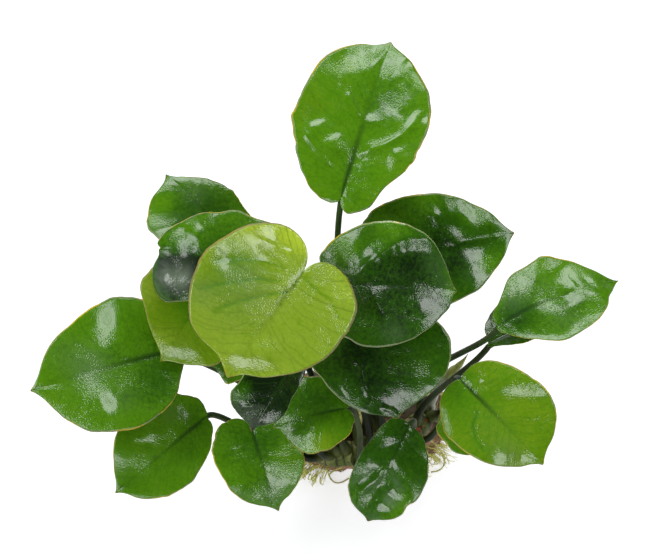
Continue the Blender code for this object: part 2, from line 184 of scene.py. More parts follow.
def coat(tree, under, over, *patterns):
    """Lays one tone over another where the patterns show. A tone is an sRGB hex or a socket."""
    under, over = (linear(tone) if isinstance(tone, str) else tone for tone in (under, over))
    inputs = {0: shown(tree, *patterns), 6: under, 7: over}
    return node(tree, "ShaderNodeMix", inputs, data_type="RGBA").outputs[2]


def grain(tree, size, detail=3.0, rough=0.55, stretch=(1, 1, 1)):
    """A cloudy pattern whose lumps have a real size in metres."""
    place = node(tree, "ShaderNodeTexCoord").outputs["Object"]
    place = node(tree, "ShaderNodeVectorMath", {0: place, 1: stretch}, operation="MULTIPLY").outputs[0]
    settings = {"Vector": place, "Scale": 1 / size, "Detail": detail, "Roughness": rough}
    return node(tree, "ShaderNodeTexNoise", settings).outputs["Fac"]


def finish(tree, surface, inputs, height, strength, depth):
    """Feeds a surface, and gives it a fine relief of a depth in metres from a pattern's height."""
    bump = node(tree, "ShaderNodeBump", {"Height": height, "Strength": strength, "Distance": depth})
    feed(tree, surface, {**inputs, "Normal": bump.outputs[0]})
    return bump.outputs[0]


def mesh_piece(name, verts, faces, materials, *node_names, slot, face_materials=None, values=()):
    """A smooth mesh piece that rides on the plant, stands for these CAD nodes, and carries values."""
    mesh = bpy.data.meshes.new(name)
    mesh.from_pydata([tuple(vert) for vert in verts], [], faces)
    for surface in materials:
        mesh.materials.append(surface)
    if face_materials:
        mesh.polygons.foreach_set("material_index", face_materials)
    for label, numbers in dict(values).items():
        mesh.attributes.new(label, "FLOAT", "POINT").data.foreach_set("value", numbers)
    mesh.shade_smooth()
    made = bpy.data.objects.new(name, mesh)
    bpy.context.scene.collection.objects.link(made)
    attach(made, "root")
    if node_names:
        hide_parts(*node_names)
    return made


def stone_radius(direction):
    """How far the stone's surface is from its middle in a direction: a lumpy oval with sharp hollows."""
    halves = (STONE_LENGTH / 2, STONE_DEPTH / 2, STONE_CROWN - STONE_MIDDLE.z)
    oval = 1 / math.sqrt(sum((part / half) ** 2 for part, half in zip(direction, halves)))
    broad, small, ridge = (
        noise.noise(direction * count + start)
        for count, start in (BROAD_LUMPS, SMALL_LUMPS, RIDGE_LINES)
    )
    lumps = STONE_LUMPS * (broad + SMALL_SHARE * small)
    return oval * (1 + lumps + STONE_RIDGES * (RIDGE_HEIGHT - abs(ridge)))


def on_stone(direction, lift=0.0):
    """The point of the stone's surface in a direction from its middle, or this far above it."""
    direction = direction.normalized()
    return STONE_MIDDLE + direction * (stone_radius(direction) + lift)


def compass(azimuth, elevation):
    """A direction from an azimuth, counted from +X towards +Y, and an elevation, in degrees."""
    flat = math.cos(math.radians(elevation))
    across = flat * math.cos(math.radians(azimuth))
    deep = flat * math.sin(math.radians(azimuth))
    return Vector((across, deep, math.sin(math.radians(elevation))))


def pits(place):
    """How deep the stone is pitted at a place, from 0 to 1: round holes of many sizes."""
    depth = 0
    for size, share in ((PIT_SIZE, 1.0), (PIT_SIZE * 0.45, 0.55)):
        near, centres = noise.voronoi(place / size, distance_metric="DISTANCE")
        hole = 0.25 + 0.35 * noise.cell(centres[0] * 7)
        if near[0] < hole:
            depth = max(depth, share * (1 - (near[0] / hole) ** 2))
    return depth


shape = bmesh.new()
bmesh.ops.create_icosphere(shape, subdivisions=6, radius=1)
depths = []
for vertex in shape.verts:
    place = on_stone(vertex.co)
    depth = pits(place)
    grit = noise.fractal(place / GRIT_SIZE, 0.7, 2.1, 3)
    lift = GRIT_HEIGHT * grit - PIT_DEPTH * depth + UNEVEN_HEIGHT * noise.noise(place / UNEVEN_SIZE)
    place = on_stone(vertex.co, lift)
    vertex.co = Vector((place.x, place.y, max(place.z, 0)))
    depths.append(depth)
bmesh.ops.recalc_face_normals(shape, faces=shape.faces)
stone_verts = [vertex.co.copy() for vertex in shape.verts]
stone_faces = [[vertex.index for vertex in face.verts] for face in shape.faces]
shape.free()

# Porous rock, broken and weathered: dull, pink-brown to grey in clouds, with pale mineral specks. Painted
# shade makes it dark in the pits and nearly black high up, under the rhizome and the leaves.
rock, tree, surface = start_material("weathered_rock")
hollow = node(tree, "ShaderNodeAttribute", attribute_name="hollow").outputs["Fac"]
place = node(tree, "ShaderNodeTexCoord").outputs["Object"]
height = node(tree, "ShaderNodeSeparateXYZ", {0: place}).outputs["Z"]
body = coat(tree, "#c8917a", "#e8c0ac", (grain(tree, 9 * MM), 0.4, 0.62))
body = coat(tree, body, "#80685a", (grain(tree, 3.2 * MM), 0.52, 0.7))
body = coat(tree, body, "#d2c3b6", (grain(tree, 0.8 * MM, 2), 0.6, 0.72, 0, 0.6))
# Painted shade: nearly black high up, where the rhizome and the leaves overhang the stone.
body = coat(tree, body, "#26290f", (height, 10 * MM, 19 * MM), (grain(tree, 6 * MM), 0.2, 0.45, 0, 0.92))
# Painted shade: darker in the pits.
body = coat(tree, body, "#3a2d26", (hollow, 0.1, 0.8, 0, 0.65))
roughness = shown(tree, (grain(tree, 4 * MM), 0.3, 0.7, 0.62, 0.85))
inputs = {"Base Color": body, "Roughness": roughness, "Specular IOR Level": 0.3}
finish(tree, surface, inputs, grain(tree, 0.5 * MM, 4), 0.5, 0.2 * MM)

mesh_piece("rock", stone_verts, stone_faces, [rock], "stone", slot="stone", values={"hollow": depths})

# The rhizome
# The creeping stem, fleshy and about 9 mm thick, ringed by the scars of old leaves. It grew along the
# stone's front shoulder, and its roots hold it there.
RHIZOME_RADIUS = 0.0046
RHIZOME_RING = 0.0004
RING_SPACING = 2.7 * MM
RING_DEPTH = 0.6 * MM
LUMP_SIZE = 3.5 * MM
LUMP_HEIGHT = 0.5 * MM
ROUNDED_END = 0.22  # the share of the rhizome's length that its rounded end takes up
BLUNT_END = 0.45  # how blunt that end is, where 1 is cut off square
GAP = 0.0003  # what the solids leave free between them

# The rhizome's route round the stone: three directions from the stone's middle, left end to right end
RHIZOME_ROUTE = (Vector((-0.72, -0.62, 0.31)), Vector((-0.10, -1.10, 0.50)), Vector((0.79, -0.25, 0.56)))


def rhizome_direction(part):
    """The direction from the stone's middle to the rhizome, from its old end to its young one."""
    first, middle, last = RHIZOME_ROUTE
    back = 1 - part
    return (first * back**2 + middle * 2 * back * part + last * part**2).normalized()


def rhizome_point(part):
    """The rhizome's middle line lies on the stone, just clear of it."""
    return on_stone(rhizome_direction(part), RHIZOME_RADIUS + RHIZOME_RING + 3 * GAP)


def rhizome_frame(part):
    """The rhizome's direction of growth at a place, and the two directions up and forward from it."""
    step = 0.01
    growth = (rhizome_point(part + step) - rhizome_point(part - step)).normalized()
    rise = (UP - growth * growth.z).normalized()
    return growth, rise, growth.cross(rise)


def tube(path, radii, sides, side=UP):
    """A closed tube along a path: its vertices, its faces, and how far each vertex faces side."""
    verts, faces, facing = [], [], []
    across = None
    for index, (place, radius) in enumerate(zip(path, radii)):
        ahead = (path[min(index + 1, len(path) - 1)] - path[max(index - 1, 0)]).normalized()
        start = side if across is None else across
        across = (start - ahead * start.dot(ahead)).normalized()
        aside = ahead.cross(across)
        for step in range(sides):
            angle = 2 * math.pi * step / sides
            verts.append(place + (across * math.cos(angle) + aside * math.sin(angle)) * radius)
            facing.append(math.cos(angle))
    for ring in range(len(path) - 1):
        for step in range(sides):
            here, beside = ring * sides + step, ring * sides + (step + 1) % sides
            faces.append((here, beside, beside + sides, here + sides))
    last = len(path) * sides
    verts += [path[0], path[-1]]
    facing += [0, 0]
    for step in range(sides):
        beside = (step + 1) % sides
        faces.append((beside, step, last))
        faces.append((last - sides + step, last - sides + beside, last + 1))
    return verts, faces, facing


def ring_values(values, sides, ends=(0, 1)):
    """One value for each ring of a tube as one for each vertex, with its two ends' own."""
    return [value for value in values for _ in range(sides)] + list(ends)


RHIZOME_RINGS = 220
RHIZOME_SIDES = 28
route, radii, scar = [], [], []
travelled = 0
for ring in range(RHIZOME_RINGS + 1):
    part = ring / RHIZOME_RINGS
    route.append(rhizome_point(part))
    if ring:
        travelled += (route[-1] - route[-2]).length
    phase = travelled / RING_SPACING + 0.3 * math.sin(travelled / (5 * MM))
    groove = abs(math.sin(math.pi * phase)) ** 0.4
    scar.append(1 - groove)
    from_end = min(part, 1 - part) / ROUNDED_END
    blunt = math.sqrt(min(1, from_end * 2.2 + 0.02)) * math.sqrt(min(1, BLUNT_END + from_end))
    radii.append((RHIZOME_RADIUS - RING_DEPTH / 2 + RING_DEPTH * groove) * blunt)
verts, faces, _ = tube(route, radii, RHIZOME_SIDES)
for index in range(len(route) * RHIZOME_SIDES):
    out = (verts[index] - route[index // RHIZOME_SIDES]).normalized()
    verts[index] += out * (LUMP_HEIGHT * noise.noise(verts[index] / LUMP_SIZE))

# Living stem tissue, grown: waxy green, browned with age, darkest in the rings between old leaves, and
# blushed red towards its young end.
stem, tree, surface = start_material("ringed_rhizome_skin")
ring_mark = node(tree, "ShaderNodeAttribute", attribute_name="scar").outputs["Fac"]
young = node(tree, "ShaderNodeAttribute", attribute_name="grown").outputs["Fac"]
skin = coat(tree, "#63722f", "#8f9254", (grain(tree, 5 * MM), 0.4, 0.62))
skin = coat(tree, skin, "#463c20", (grain(tree, 1.6 * MM, 4), 0.5, 0.72))
skin = coat(tree, skin, "#25220f", (ring_mark, 0.1, 0.7, 0, 0.85))
skin = coat(tree, skin, "#a5502c", (young, 0.6, 0.8), (grain(tree, 3 * MM), 0.5, 0.62))
inputs = {"Base Color": skin, "Roughness": 0.45, "Specular IOR Level": 0.3}
finish(tree, surface, inputs, grain(tree, 0.7 * MM, 4), 0.45, 0.15 * MM)

values = {
    "scar": ring_values(scar, RHIZOME_SIDES, (0, 0)),
    "grown": ring_values([ring / RHIZOME_RINGS for ring in range(RHIZOME_RINGS + 1)], RHIZOME_SIDES),
}
mesh_piece("creeping_stem", verts, faces, [stem], "rhizome", slot="rhizome", values=values)

# The leaf blades
# Nineteen leathery blades, heart-shaped to oval, about half a millimetre thick, each grown on its
# own stalk. The midrib is a groove on top and a rib below, and the side veins sweep to the margin.

# The pixels are the seat, where the stalk meets the blade, the tip, the widest point of the left and
# right margin as seen from seat to tip, and the backmost point of each lobe. Heights are in
# millimetres. root is where its stalk leaves the rhizome, from 0 to 1, and lean the angle there,
# forward of up. roll turns the blade on its midrib. nose and shoulder say how full the margin is: 1
# is straight, 2 is an ellipse. arch and curl bend the blade along its midrib, and fold raises both
# halves. ripple is how high the margin waves, and point how far the tip is drawn out, in
# millimetres. green goes from 0, darkest, to 1, yellow-green; quilt is how far the blade swells
# between its veins.
Leaf = namedtuple(
    "Leaf",
    "name seat tip left right left_lobe right_lobe seat_height tip_height root lean"
    " roll nose shoulder arch fold curl ripple point green quilt slot",
    defaults=(0, (2.0, 2.0), 1.8, 0.06, 0.1, 0.0, 0.4, 2.5, 0.5, 0.3, "leaf"),
)

LEAVES = [
    Leaf("top", (341, 198), (391, 42), (294, 113), (428, 130), (326, 201), (349, 214),
         118, 134, 0.50, -24, roll=-6, nose=(2.0, 1.75), shoulder=1.6, arch=0.05, fold=0.16,
         ripple=0.7, point=1.6, green=0.54, quilt=0.50),
    Leaf("upper_left", (236, 243), (166, 175), (152, 234), (232, 192), (212, 262), (252, 226),
         90, 96, 0.23, -26, roll=10, nose=(1.9, 1.6), arch=0.05, fold=0.12, green=0.42,
         slot="dark_leaf"),
    Leaf("folded_left", (262, 252), (159, 249), (172, 302), (205, 212), (276, 282), (276, 226),
         113, 109, 0.33, -24, nose=(2.5, 1.7), arch=0.08, fold=-0.34, curl=0.03, point=-3.0,
         green=0.40),
    Leaf("pale_left", (212, 280), (160, 361), (243, 336), (144, 279), (240, 285), (186, 252),
         91, 82, 0.155, 2, roll=-8, nose=(2.0, 1.3), arch=0.06, fold=0.08, point=1.5,
         green=0.80, slot="pale_leaf"),
    Leaf("great_pale", (303, 272), (228, 377), (347, 331), (202, 256), (337, 267), (290, 228),
         123, 116, 0.385, 10, roll=-4, nose=(1.8, 2.15), shoulder=1.75, arch=0.05, fold=0.08,
         point=3.6, green=0.96, quilt=0.25, slot="pale_leaf"),
    Leaf("far_left", (169, 352), (31.5, 392), (133, 429), (108, 299), (187, 361), (176, 326),
         79, 72, 0.05, 5, roll=8, nose=(1.75, 1.8), arch=0.06, fold=0.14, point=2.5,
         green=0.50, quilt=0.45),
    Leaf("lower_left", (207, 416), (115.5, 493), (186, 485), (131, 410), (209, 420), (200, 402),
         60, 50, 0.01, 50, roll=-6, nose=(1.9, 1.8), arch=0.06, fold=0.1, point=1.8, green=0.47),
    Leaf("front_left", (251, 427), (279, 511), (304, 448), (213, 457), (277, 421), (229, 420),
         62, 44, 0.16, 52, roll=6, nose=(1.7, 2.1), arch=0.08, fold=0.1, point=2.0, green=0.46),
    # dark_left's near-black green is partly its own tone and partly painted shade from the leaves over it.
    Leaf("dark_left", (288, 370), (252, 431), (287, 402), (235, 390), (294, 377), (262, 352),
         88, 76, 0.245, 36, roll=-12, nose=(1.8, 2.1), arch=0.09, fold=0.14, point=2.0,
         green=0.04, quilt=0.4, slot="dark_leaf"),
    Leaf("small_middle", (345, 408.5), (272, 427), (320, 453), (303, 376), (354, 419), (352, 398),
         73, 65, 0.44, 60, roll=4, nose=(1.9, 1.9), arch=0.08, fold=0.12, green=0.42),
    Leaf("dark_bowl", (357, 286), (457, 291), (385, 220), (374, 347), (322, 258), (330, 318),
         107, 105, 0.55, 10, roll=-4, nose=(1.9, 1.9), arch=0.10, fold=0.26, point=1.5,
         green=0.20, quilt=0.30, slot="dark_leaf"),
    Leaf("upper_right", (388, 262), (514, 233), (405, 197), (440, 307), (357, 238), (374, 298),
         99, 98, 0.68, -22, roll=4, nose=(1.9, 1.9), arch=0.07, fold=0.14, green=0.30,
         quilt=0.40, slot="dark_leaf"),
    Leaf("far_right", (497, 327), (618.5, 281), (538, 258), (570, 335), (494, 320), (498, 331),
         92, 92, 0.95, -22, roll=-24, nose=(1.5, 1.7), shoulder=1.3, arch=0.06, fold=0.22,
         point=2.0, green=0.48, quilt=0.35),
    Leaf("under_right", (488, 344), (588, 308), (520, 284), (530, 340), (485, 334), (488, 346),
         83, 80, 0.87, 2, roll=-32, shoulder=1.5, arch=0.06, fold=0.2, green=0.40),
    Leaf("lower_right", (461, 380), (543, 465), (541, 382), (452, 441), (469, 367), (448, 386),
         84, 74, 0.93, 40, roll=4, nose=(2.2, 1.8), arch=0.06, fold=0.1, point=1.8, green=0.67),
    Leaf("hidden_right", (461, 405), (497, 457), (500, 414), (437, 432), (470, 397), (449, 405),
         64, 54, 0.82, 60, roll=-6, arch=0.07, fold=0.1, green=0.50),
    # dark_middle's dark green is partly its own tone and partly painted shade from the leaves over it.
    Leaf("dark_middle", (366, 330), (397, 419), (449, 337), (309, 352), (398, 314), (338, 318),
         93, 78, 0.63, 22, roll=4, nose=(2.1, 2.0), arch=0.07, fold=0.1, point=1.5,
         green=0.14, quilt=0.4, slot="dark_leaf"),
    Leaf("front_middle", (409.5, 424), (368, 521), (428, 480), (350, 478), (413, 428), (398, 417),
         67, 44, 0.60, 66, roll=8, nose=(2.3, 2.4), shoulder=2.0, arch=0.08, fold=0.14,
         point=1.4, green=0.26, quilt=0.45, slot="dark_leaf"),
    Leaf("hidden_left", (262, 345), (205, 366), (230, 384), (230, 331), (270, 360), (266, 330),
         74, 70, 0.295, 10, roll=6, arch=0.07, fold=0.1, green=0.42),
]

# Where a blade is puckered along a side vein: pixels along the ridge, its height in millimetres, below
# zero for a valley, and its half width.
CREASES = {
    "top": [
        (((362, 154), (386, 146), (403, 136), (413, 125), (419, 114)), 0.75, 1.6),
        (((308, 136), (317, 150), (327, 164)), 0.6, 1.3),
        (((349, 97), (353, 106), (357, 115)), 0.6, 1.3),
    ],
    "upper_right": [(((455, 245), (475, 240), (495, 237)), 0.3, 1.0)],
    "great_pale": [
        (((262, 240), (276, 245), (290, 252)), 0.3, 1.0),
        (((285, 268), (262, 260), (240, 259), (215, 262)), -0.3, 1.2),
        (((280, 281), (258, 279), (235, 282), (200, 288)), -0.25, 1.1),
        (((285, 292), (262, 296), (240, 301), (215, 310)), -0.25, 1.1),
        (((305, 279), (317, 290), (330, 300), (339, 318)), -0.25, 1.1),
    ],
    "far_left": [(((82, 345), (95, 350), (112, 355)), 0.3, 1.1)],
    "dark_middle": [
        (((347, 371), (342, 377), (343, 386), (349, 394)), 0.5, 0.8),
        (((354, 361), (360, 364), (361, 375), (363, 385), (367, 393)), 0.5, 0.8),
        (((384, 408), (392, 411), (400, 417)), 0.3, 1.0),
    ],
    "front_middle": [
        (((370, 456), (376, 450), (380, 443)), 0.25, 0.9),
        (((357, 504), (360, 494), (369, 486), (378, 479), (383, 470)), 0.5, 1.6),
    ],
    "far_right": [(((506, 322), (525, 312), (548, 303), (560, 300)), 0.25, 1.0)],
    "lower_right": [
        (((484, 381), (493, 379), (503, 378)), 0.3, 1.0),
        (((477, 412), (473, 425), (476, 440), (483, 450)), -0.4, 1.3),
    ],
    "dark_left": [(((245, 407), (255, 405), (262, 404)), 0.25, 0.9)],
}

# Where a blade has a sharper fold, like a bowl's brim: pixels along it, its height and its half width,
# both in millimetres.
FOLDS = {
    "dark_bowl": [
        (((357, 275), (363, 268), (371, 261), (380, 254), (390, 247), (401, 241), (412, 239), (424, 239),
          (437, 244)), 1.7, 4),
        (((372, 297), (378, 305), (386, 313), (396, 320), (409, 324), (421, 322)), 1.1, 3.5),
    ],
}

# The studio's windows, which the wet blades mirror: the azimuth and elevation of each as seen from the
# plant, its width and height in metres, how bright it is, and how many panes it has.
WINDOWS = {
    "window_behind": (95, 47, (0.75, 0.4), 5.6, 3),
    "window_left": (187, 38, (0.55, 0.45), 5.4, 2),
    "window_right": (10, 42, (0.5, 0.4), 5.4, 2),
    "window_front": (262, 27, (0.65, 0.3), 5.4, 2),
}
WINDOW_DISTANCE = 1.0
WINDOW_PLACES = [
    EYE_AIM + compass(azimuth, elevation) * WINDOW_DISTANCE
    for azimuth, elevation, *_ in WINDOWS.values()
]
HIGH_ABOVE = [Vector((0, 0.5, 5))]  # the dark ceiling, over the ceiling light

# Where a shallow pucker makes a blade mirror the nearest window: pixels along its middle, its half width
# in millimetres, and which part of the lean that is missing it makes up in each round.
GLINTS = {
    "top": [(((361, 62),), 7, 1), (((384, 55), (402, 64)), 5, 1),
            (((420, 82), (408, 96), (394, 110)), 5.5, 1), (((368, 157), (388, 160)), 4, 1),
            (((320, 124), (329, 137)), 5, 1), (((375, 119),), 3.5, 1), (((427, 119),), 4, 1)],
    "upper_right": [(((475, 218), (488, 214)), 6, 1), (((429, 221),), 3.2, 1), (((437, 212),), 3.2, 1),
                    (((449, 207),), 3.2, 1), (((460, 204),), 3.2, 1), (((456, 233),), 4, 1),
                    (((477, 272),), 4, 1)],
    "dark_bowl": [(((352, 246), (356, 258), (358, 268)), 5, 1),
                  (((373, 252), (382, 244), (392, 237), (404, 232), (418, 231)), 4.5, 1),
                  (((428, 302), (440, 297), (447, 290)), 6, 1)],
    "great_pale": [(((226, 253), (242, 250), (256, 248)), 7, 1), (((240, 362), (262, 364)), 5, 0.8)],
    "far_left": [(((110, 321),), 9, 1), (((110, 402),), 5, 0.9)],
    "lower_left": [(((138, 440), (149, 439)), 3, 1), (((163, 412), (178, 413)), 6, 1)],
    "front_left": [(((260, 494), (272, 488), (283, 482)), 5, 1)],
    "small_middle": [(((288, 437), (303, 442)), 4.5, 1), (((303, 378),), 3, 1)],
    "dark_middle": [(((390, 402), (402, 400)), 5, 1), (((430, 405),), 3.5, 1),
                    (((439, 392), (445, 384)), 3.5, 1)],
    "front_middle": [(((368, 470), (378, 467)), 4.5, 1), (((391, 496), (386, 506)), 5.5, 1),
                     (((389, 440),), 4, 1)],
    "far_right": [(((515, 272), (528, 270)), 8, 1), (((552, 262),), 5, 1),
                  (((568, 296), (580, 293), (590, 287)), 4, 1)],
    "lower_right": [(((505, 390), (520, 390), (537, 391)), 5, 1), (((443, 418), (446, 430)), 3.5, 1),
                    (((505, 460), (522, 461)), 6, 1)],
    "folded_left": [(((183, 231), (190, 237)), 3.2, 1), (((165, 276), (180, 279)), 4, 1)],
    "pale_left": [(((172, 352), (190, 354)), 4.5, 1)],
}

# Where a pucker turns a blade up to the ceiling instead, so that it mirrors no window.
DULL = {
    "upper_right": [(((497, 252),), 7, 1), (((466, 284),), 6, 1)],
    "dark_bowl": [(((396, 272),), 10, 0.8)],
    "great_pale": [(((300, 250),), 6, 1), (((290, 240),), 7, 1)],
    "far_left": [(((50, 385),), 12, 0.6)],
    "lower_left": [(((130, 435),), 11, 0.8), (((130, 480),), 10, 0.6)],
    "front_left": [(((235, 475),), 7, 0.7)],
    "small_middle": [(((328, 428),), 5, 1)],
    "front_middle": [(((412, 465),), 8, 1)],
    "far_right": [(((560, 325),), 9, 1), (((590, 305),), 9, 1), (((530, 320),), 9, 1)],
    "upper_left": [(((165, 200),), 9, 1), (((200, 212),), 10, 1)],
    "folded_left": [(((205, 243),), 5, 0.8), (((225, 225),), 6, 1), (((175, 256),), 5, 1),
                    (((180, 294),), 5, 1)],
}

# Where a margin swells out or is drawn in: a pixel on it, how far in millimetres, and over what half width.
DENTS = {
    "top": [((322, 60), 1.6, 10), ((340, 50), 1.4, 7), ((360, 46), 0.6, 4), ((418, 70), -1.0, 8),
            ((381, 192), -1.8, 5), ((404, 160), 0.6, 4), ((292, 150), -0.6, 5), ((312, 191), 0.7, 5),
            ((371, 208), 0.5, 3), ((298, 95), -0.6, 1.2), ((292, 116), 0.6, 3), ((295, 142), -0.5, 1.5),
            ((418, 153), -0.5, 1.2), ((407, 166), -0.6, 1.2)],
    "upper_left": [((150, 198), 0.9, 5), ((190, 178), -0.7, 4), ((222, 184), 0.5, 4), ((158, 187), 0.6, 3)],
    "folded_left": [((180, 222), -1.0, 7), ((235, 212), 1.5, 5), ((155, 280), 1.8, 8)],
    "pale_left": [((142, 288), 1.1, 5), ((185, 366), 0.6, 6), ((214, 361), 2.0, 5)],
    "great_pale": [((196, 320), 1.8, 7), ((203, 340), 1.3, 6), ((262, 374), 1.2, 6), ((300, 367), 1.8, 8),
                   ((326, 354), 1.3, 7), ((355, 308), 0.9, 8)],
    "far_left": [((180, 378), -2.2, 6), ((67, 325), -0.6, 6), ((98, 428), 0.7, 7), ((50, 410), -0.5, 5)],
    "lower_left": [((112, 455), -0.5, 6), ((190, 482), 0.7, 6), ((200, 398), 0.8, 4)],
    "dark_bowl": [((318, 259), 1.0, 4), ((444, 304), 1.2, 3)],
    "dark_middle": [((316, 358), 2.0, 5)],
    "dark_left": [((300, 376), 4.5, 6), ((300, 362), 5, 5), ((233, 400), 1.2, 6), ((243, 422), 1.0, 4),
                  ((275, 412), 2.2, 5)],
    "upper_right": [((383, 209), 0.9, 5), ((494, 269), -1.1, 6), ((478, 202), -0.5, 6)],
    "far_right": [((513, 277), 2.0, 6), ((487, 314), 1.2, 4), ((592, 267), -0.8, 6), ((611, 297), -1.2, 4)],
    "lower_right": [((526, 368), -0.8, 7)],
    "hidden_right": [((456, 452), 1.4, 5)],
    "front_middle": [((409, 508), -1.3, 2.5), ((430, 455), -1.6, 8), ((359, 512), 0.7, 3)],
}

# Where a blade is greener or yellower than the rest of it, and where painted shade or painted light is laid
# on it: a pixel, the radius in millimetres, the change.
TONE_MARKS_AND_PAINTED_SHADE = {
    "top": [((330, 110), 12, 0.06), ((400, 90), 10, -0.05), ((345, 70), 6, 0.08), ((385, 110), 6, -0.08)],
    "upper_left": [((164, 203), 4, 0.22), ((195, 212), 9, -0.12), ((150, 215), 5, 0.08)],
    "great_pale": [((222, 275), 12, -0.16), ((300, 238), 9, 0.26), ((345, 285), 8, 0.14),
                   ((225, 360), 8, 0.16), ((262, 300), 9, 0.06), ((255, 232), 6, 0.16),
                   ((243, 266), 7, -0.12)],
    "pale_left": [((150, 290), 5, 0.2), ((200, 300), 9, -0.2), ((165, 340), 6, 0.12)],
    # folded_left's lower half is painted darker: painted shade on the half that hangs down.
    "folded_left": [((235, 215), 7, 0.08), ((190, 225), 6, 0.06), ((165, 268), 5, -0.4),
                    ((180, 270), 5.5, -0.4), ((195, 270), 5, -0.4), ((175, 290), 7, -0.35)],
    "small_middle": [((312, 396), 8, -0.12), ((322, 445), 6, 0.34), ((340, 425), 6, 0.12)],
    # The darker marks just inside dark_bowl's brim are painted shade along its fold.
    "dark_bowl": [((340, 248), 9, 0.3), ((390, 226), 7, 0.28), ((385, 268), 5, -0.06),
                  ((402, 262), 6, -0.07), ((420, 262), 5, -0.06), ((398, 285), 9, -0.03),
                  ((400, 325), 12, -0.08), ((452, 275), 3, 0.3), ((450, 292), 3, 0.3)],
    "dark_left": [((239, 392), 4, 0.3)],
    "dark_middle": [((430, 360), 9, 0.16), ((360, 350), 9, -0.06), ((425, 400), 7, 0.12),
                    ((350, 395), 6, 0.06)],
    "upper_right": [((385, 215), 8, 0.1), ((425, 200), 7, 0.16), ((440, 235), 7, -0.12),
                    ((460, 265), 7, -0.12), ((485, 262), 5, 0.2), ((470, 212), 6, 0.1)],
    "front_left": [((290, 455), 7, 0.14), ((262, 445), 7, -0.1)],
    "front_middle": [((385, 440), 7, -0.02), ((400, 512), 7, 0.2), ((362, 450), 5, -0.06),
                     ((385, 480), 12, 0.06)],
    "lower_right": [((520, 450), 9, 0.1), ((455, 390), 6, -0.16), ((520, 405), 5, 0.06),
                    ((480, 372), 6, 0.06)],
    "far_left": [((60, 385), 10, 0.1), ((165, 385), 11, -0.14), ((120, 345), 7, 0.02)],
    # lower_left's broad lift is painted light, where the blade lies in shade.
    "lower_left": [((170, 410), 6, 0.08), ((150, 485), 7, 0.08), ((150, 450), 18, 0.09)],
    "far_right": [((515, 322), 6, -0.3), ((540, 262), 5, 0.1), ((575, 268), 6, 0.1)],
}

# Where a blade has a painted reflection, a grey-green sheen: a pixel, the radius in millimetres, how dense.
PAINTED_SHEENS = {
    "great_pale": [((240, 270), 9, 0.3), ((258, 300), 9, 0.22), ((225, 315), 9, 0.15),
                   ((200, 290), 6, 0.3)],
    "far_left": [((90, 368), 9, 0.4), ((125, 400), 6, 0.25), ((60, 350), 7, 0.15)],
    "folded_left": [((182, 268), 6, 0.35), ((165, 276), 4, 0.7), ((182, 280), 4, 0.7),
                    ((178, 297), 5, 0.2)],
    "front_left": [((270, 488), 5, 0.3)],
    "far_right": [((512, 303), 6, 0.35), ((590, 285), 7, 0.15), ((565, 318), 8, 0.25),
                  ((540, 290), 7, 0.15)],
    "upper_left": [((195, 192), 7, 0.3), ((155, 228), 5, 0.25), ((160, 240), 4, 0.2)],
    "lower_right": [((510, 458), 7, 0.3), ((490, 425), 9, 0.15)],
    "dark_bowl": [((436, 262), 6, 0.25), ((395, 333), 6, 0.3), ((445, 290), 5, 0.25)],
    "dark_left": [((247, 420), 5, 0.3)],
    "front_middle": [((392, 500), 4, 0.45), ((420, 488), 4, 0.25)],
    "lower_left": [((170, 412), 5, 0.3), ((140, 462), 6, 0.15), ((118, 468), 4, 0.25)],
    "pale_left": [((180, 352), 6, 0.2)],
    "upper_right": [((475, 272), 5, 0.25)],
}

LEVEL_FACING = 0.35  # how much the blades face up rather than the eye
BLADE_ROWS = 112
HALF_COLUMNS = 32
ROW_CROWDING = 1.2  # how much closer a blade's rows lie near the tip
COLUMN_CROWDING = 0.28  # how much closer its columns lie near the midrib
BLADE_THICKNESS = 0.5 * MM
GROOVE_DEPTH = 0.28 * MM
GROOVE_WIDTH = 1.1 * MM
SIDE_VEINS = 7  # pairs of side veins that can be told from the finer ones
SWELL_SIZE = 19 * MM  # how far apart the blade's soft swellings lie
FRILL = 0.6 * MM  # how far the margin wavers
VALLEY_PAINTED_SHADE = 0.2  # how much darker a valley is painted: painted shade in the groove
NET = 96  # the meshes along and across the net on which a blade's leans are read
NET_CROWDING = 1.25  # how much closer its rows lie near the tip
NET_ENDS = (0.003, 0.997)  # its first and last turn, just short of the tip and the notch
NET_REACH = 1.5 * MM  # how much farther off than the nearest knot the one seen at a pixel may be
STEEPEST_LEAN = 0.5  # the most that a pucker rises or falls for each millimetre
LEAN_ROUNDS = (0.85, 0.8, 0.8)  # the part of each missing lean that a round makes up
LEFT, RIGHT = 0, 1


def off_line(spot, line):
    """The step from a line of points to a spot on the blade, from the line's nearest place."""
    steps = [spot - line[0]]
    for start, end in zip(line, line[1:]):
        span = end - start
        part = min(1, max(0, (spot - start).dot(span) / span.length_squared))
        steps.append(spot - start - span * part)
    return min(steps, key=lambda step: step.length_squared)


def mirroring(place, goal):
    """The normal with which a place shows the eye what it sees in the direction of a goal."""
    return ((goal - place).normalized() - (place - EYE_POINT).normalized()).normalized()


def far_from_mirroring(spots, goal):
    """How far places with their normals are from showing the eye a goal."""
    return sum(1 - mirroring(place, goal).dot(normal) for place, normal in spots)


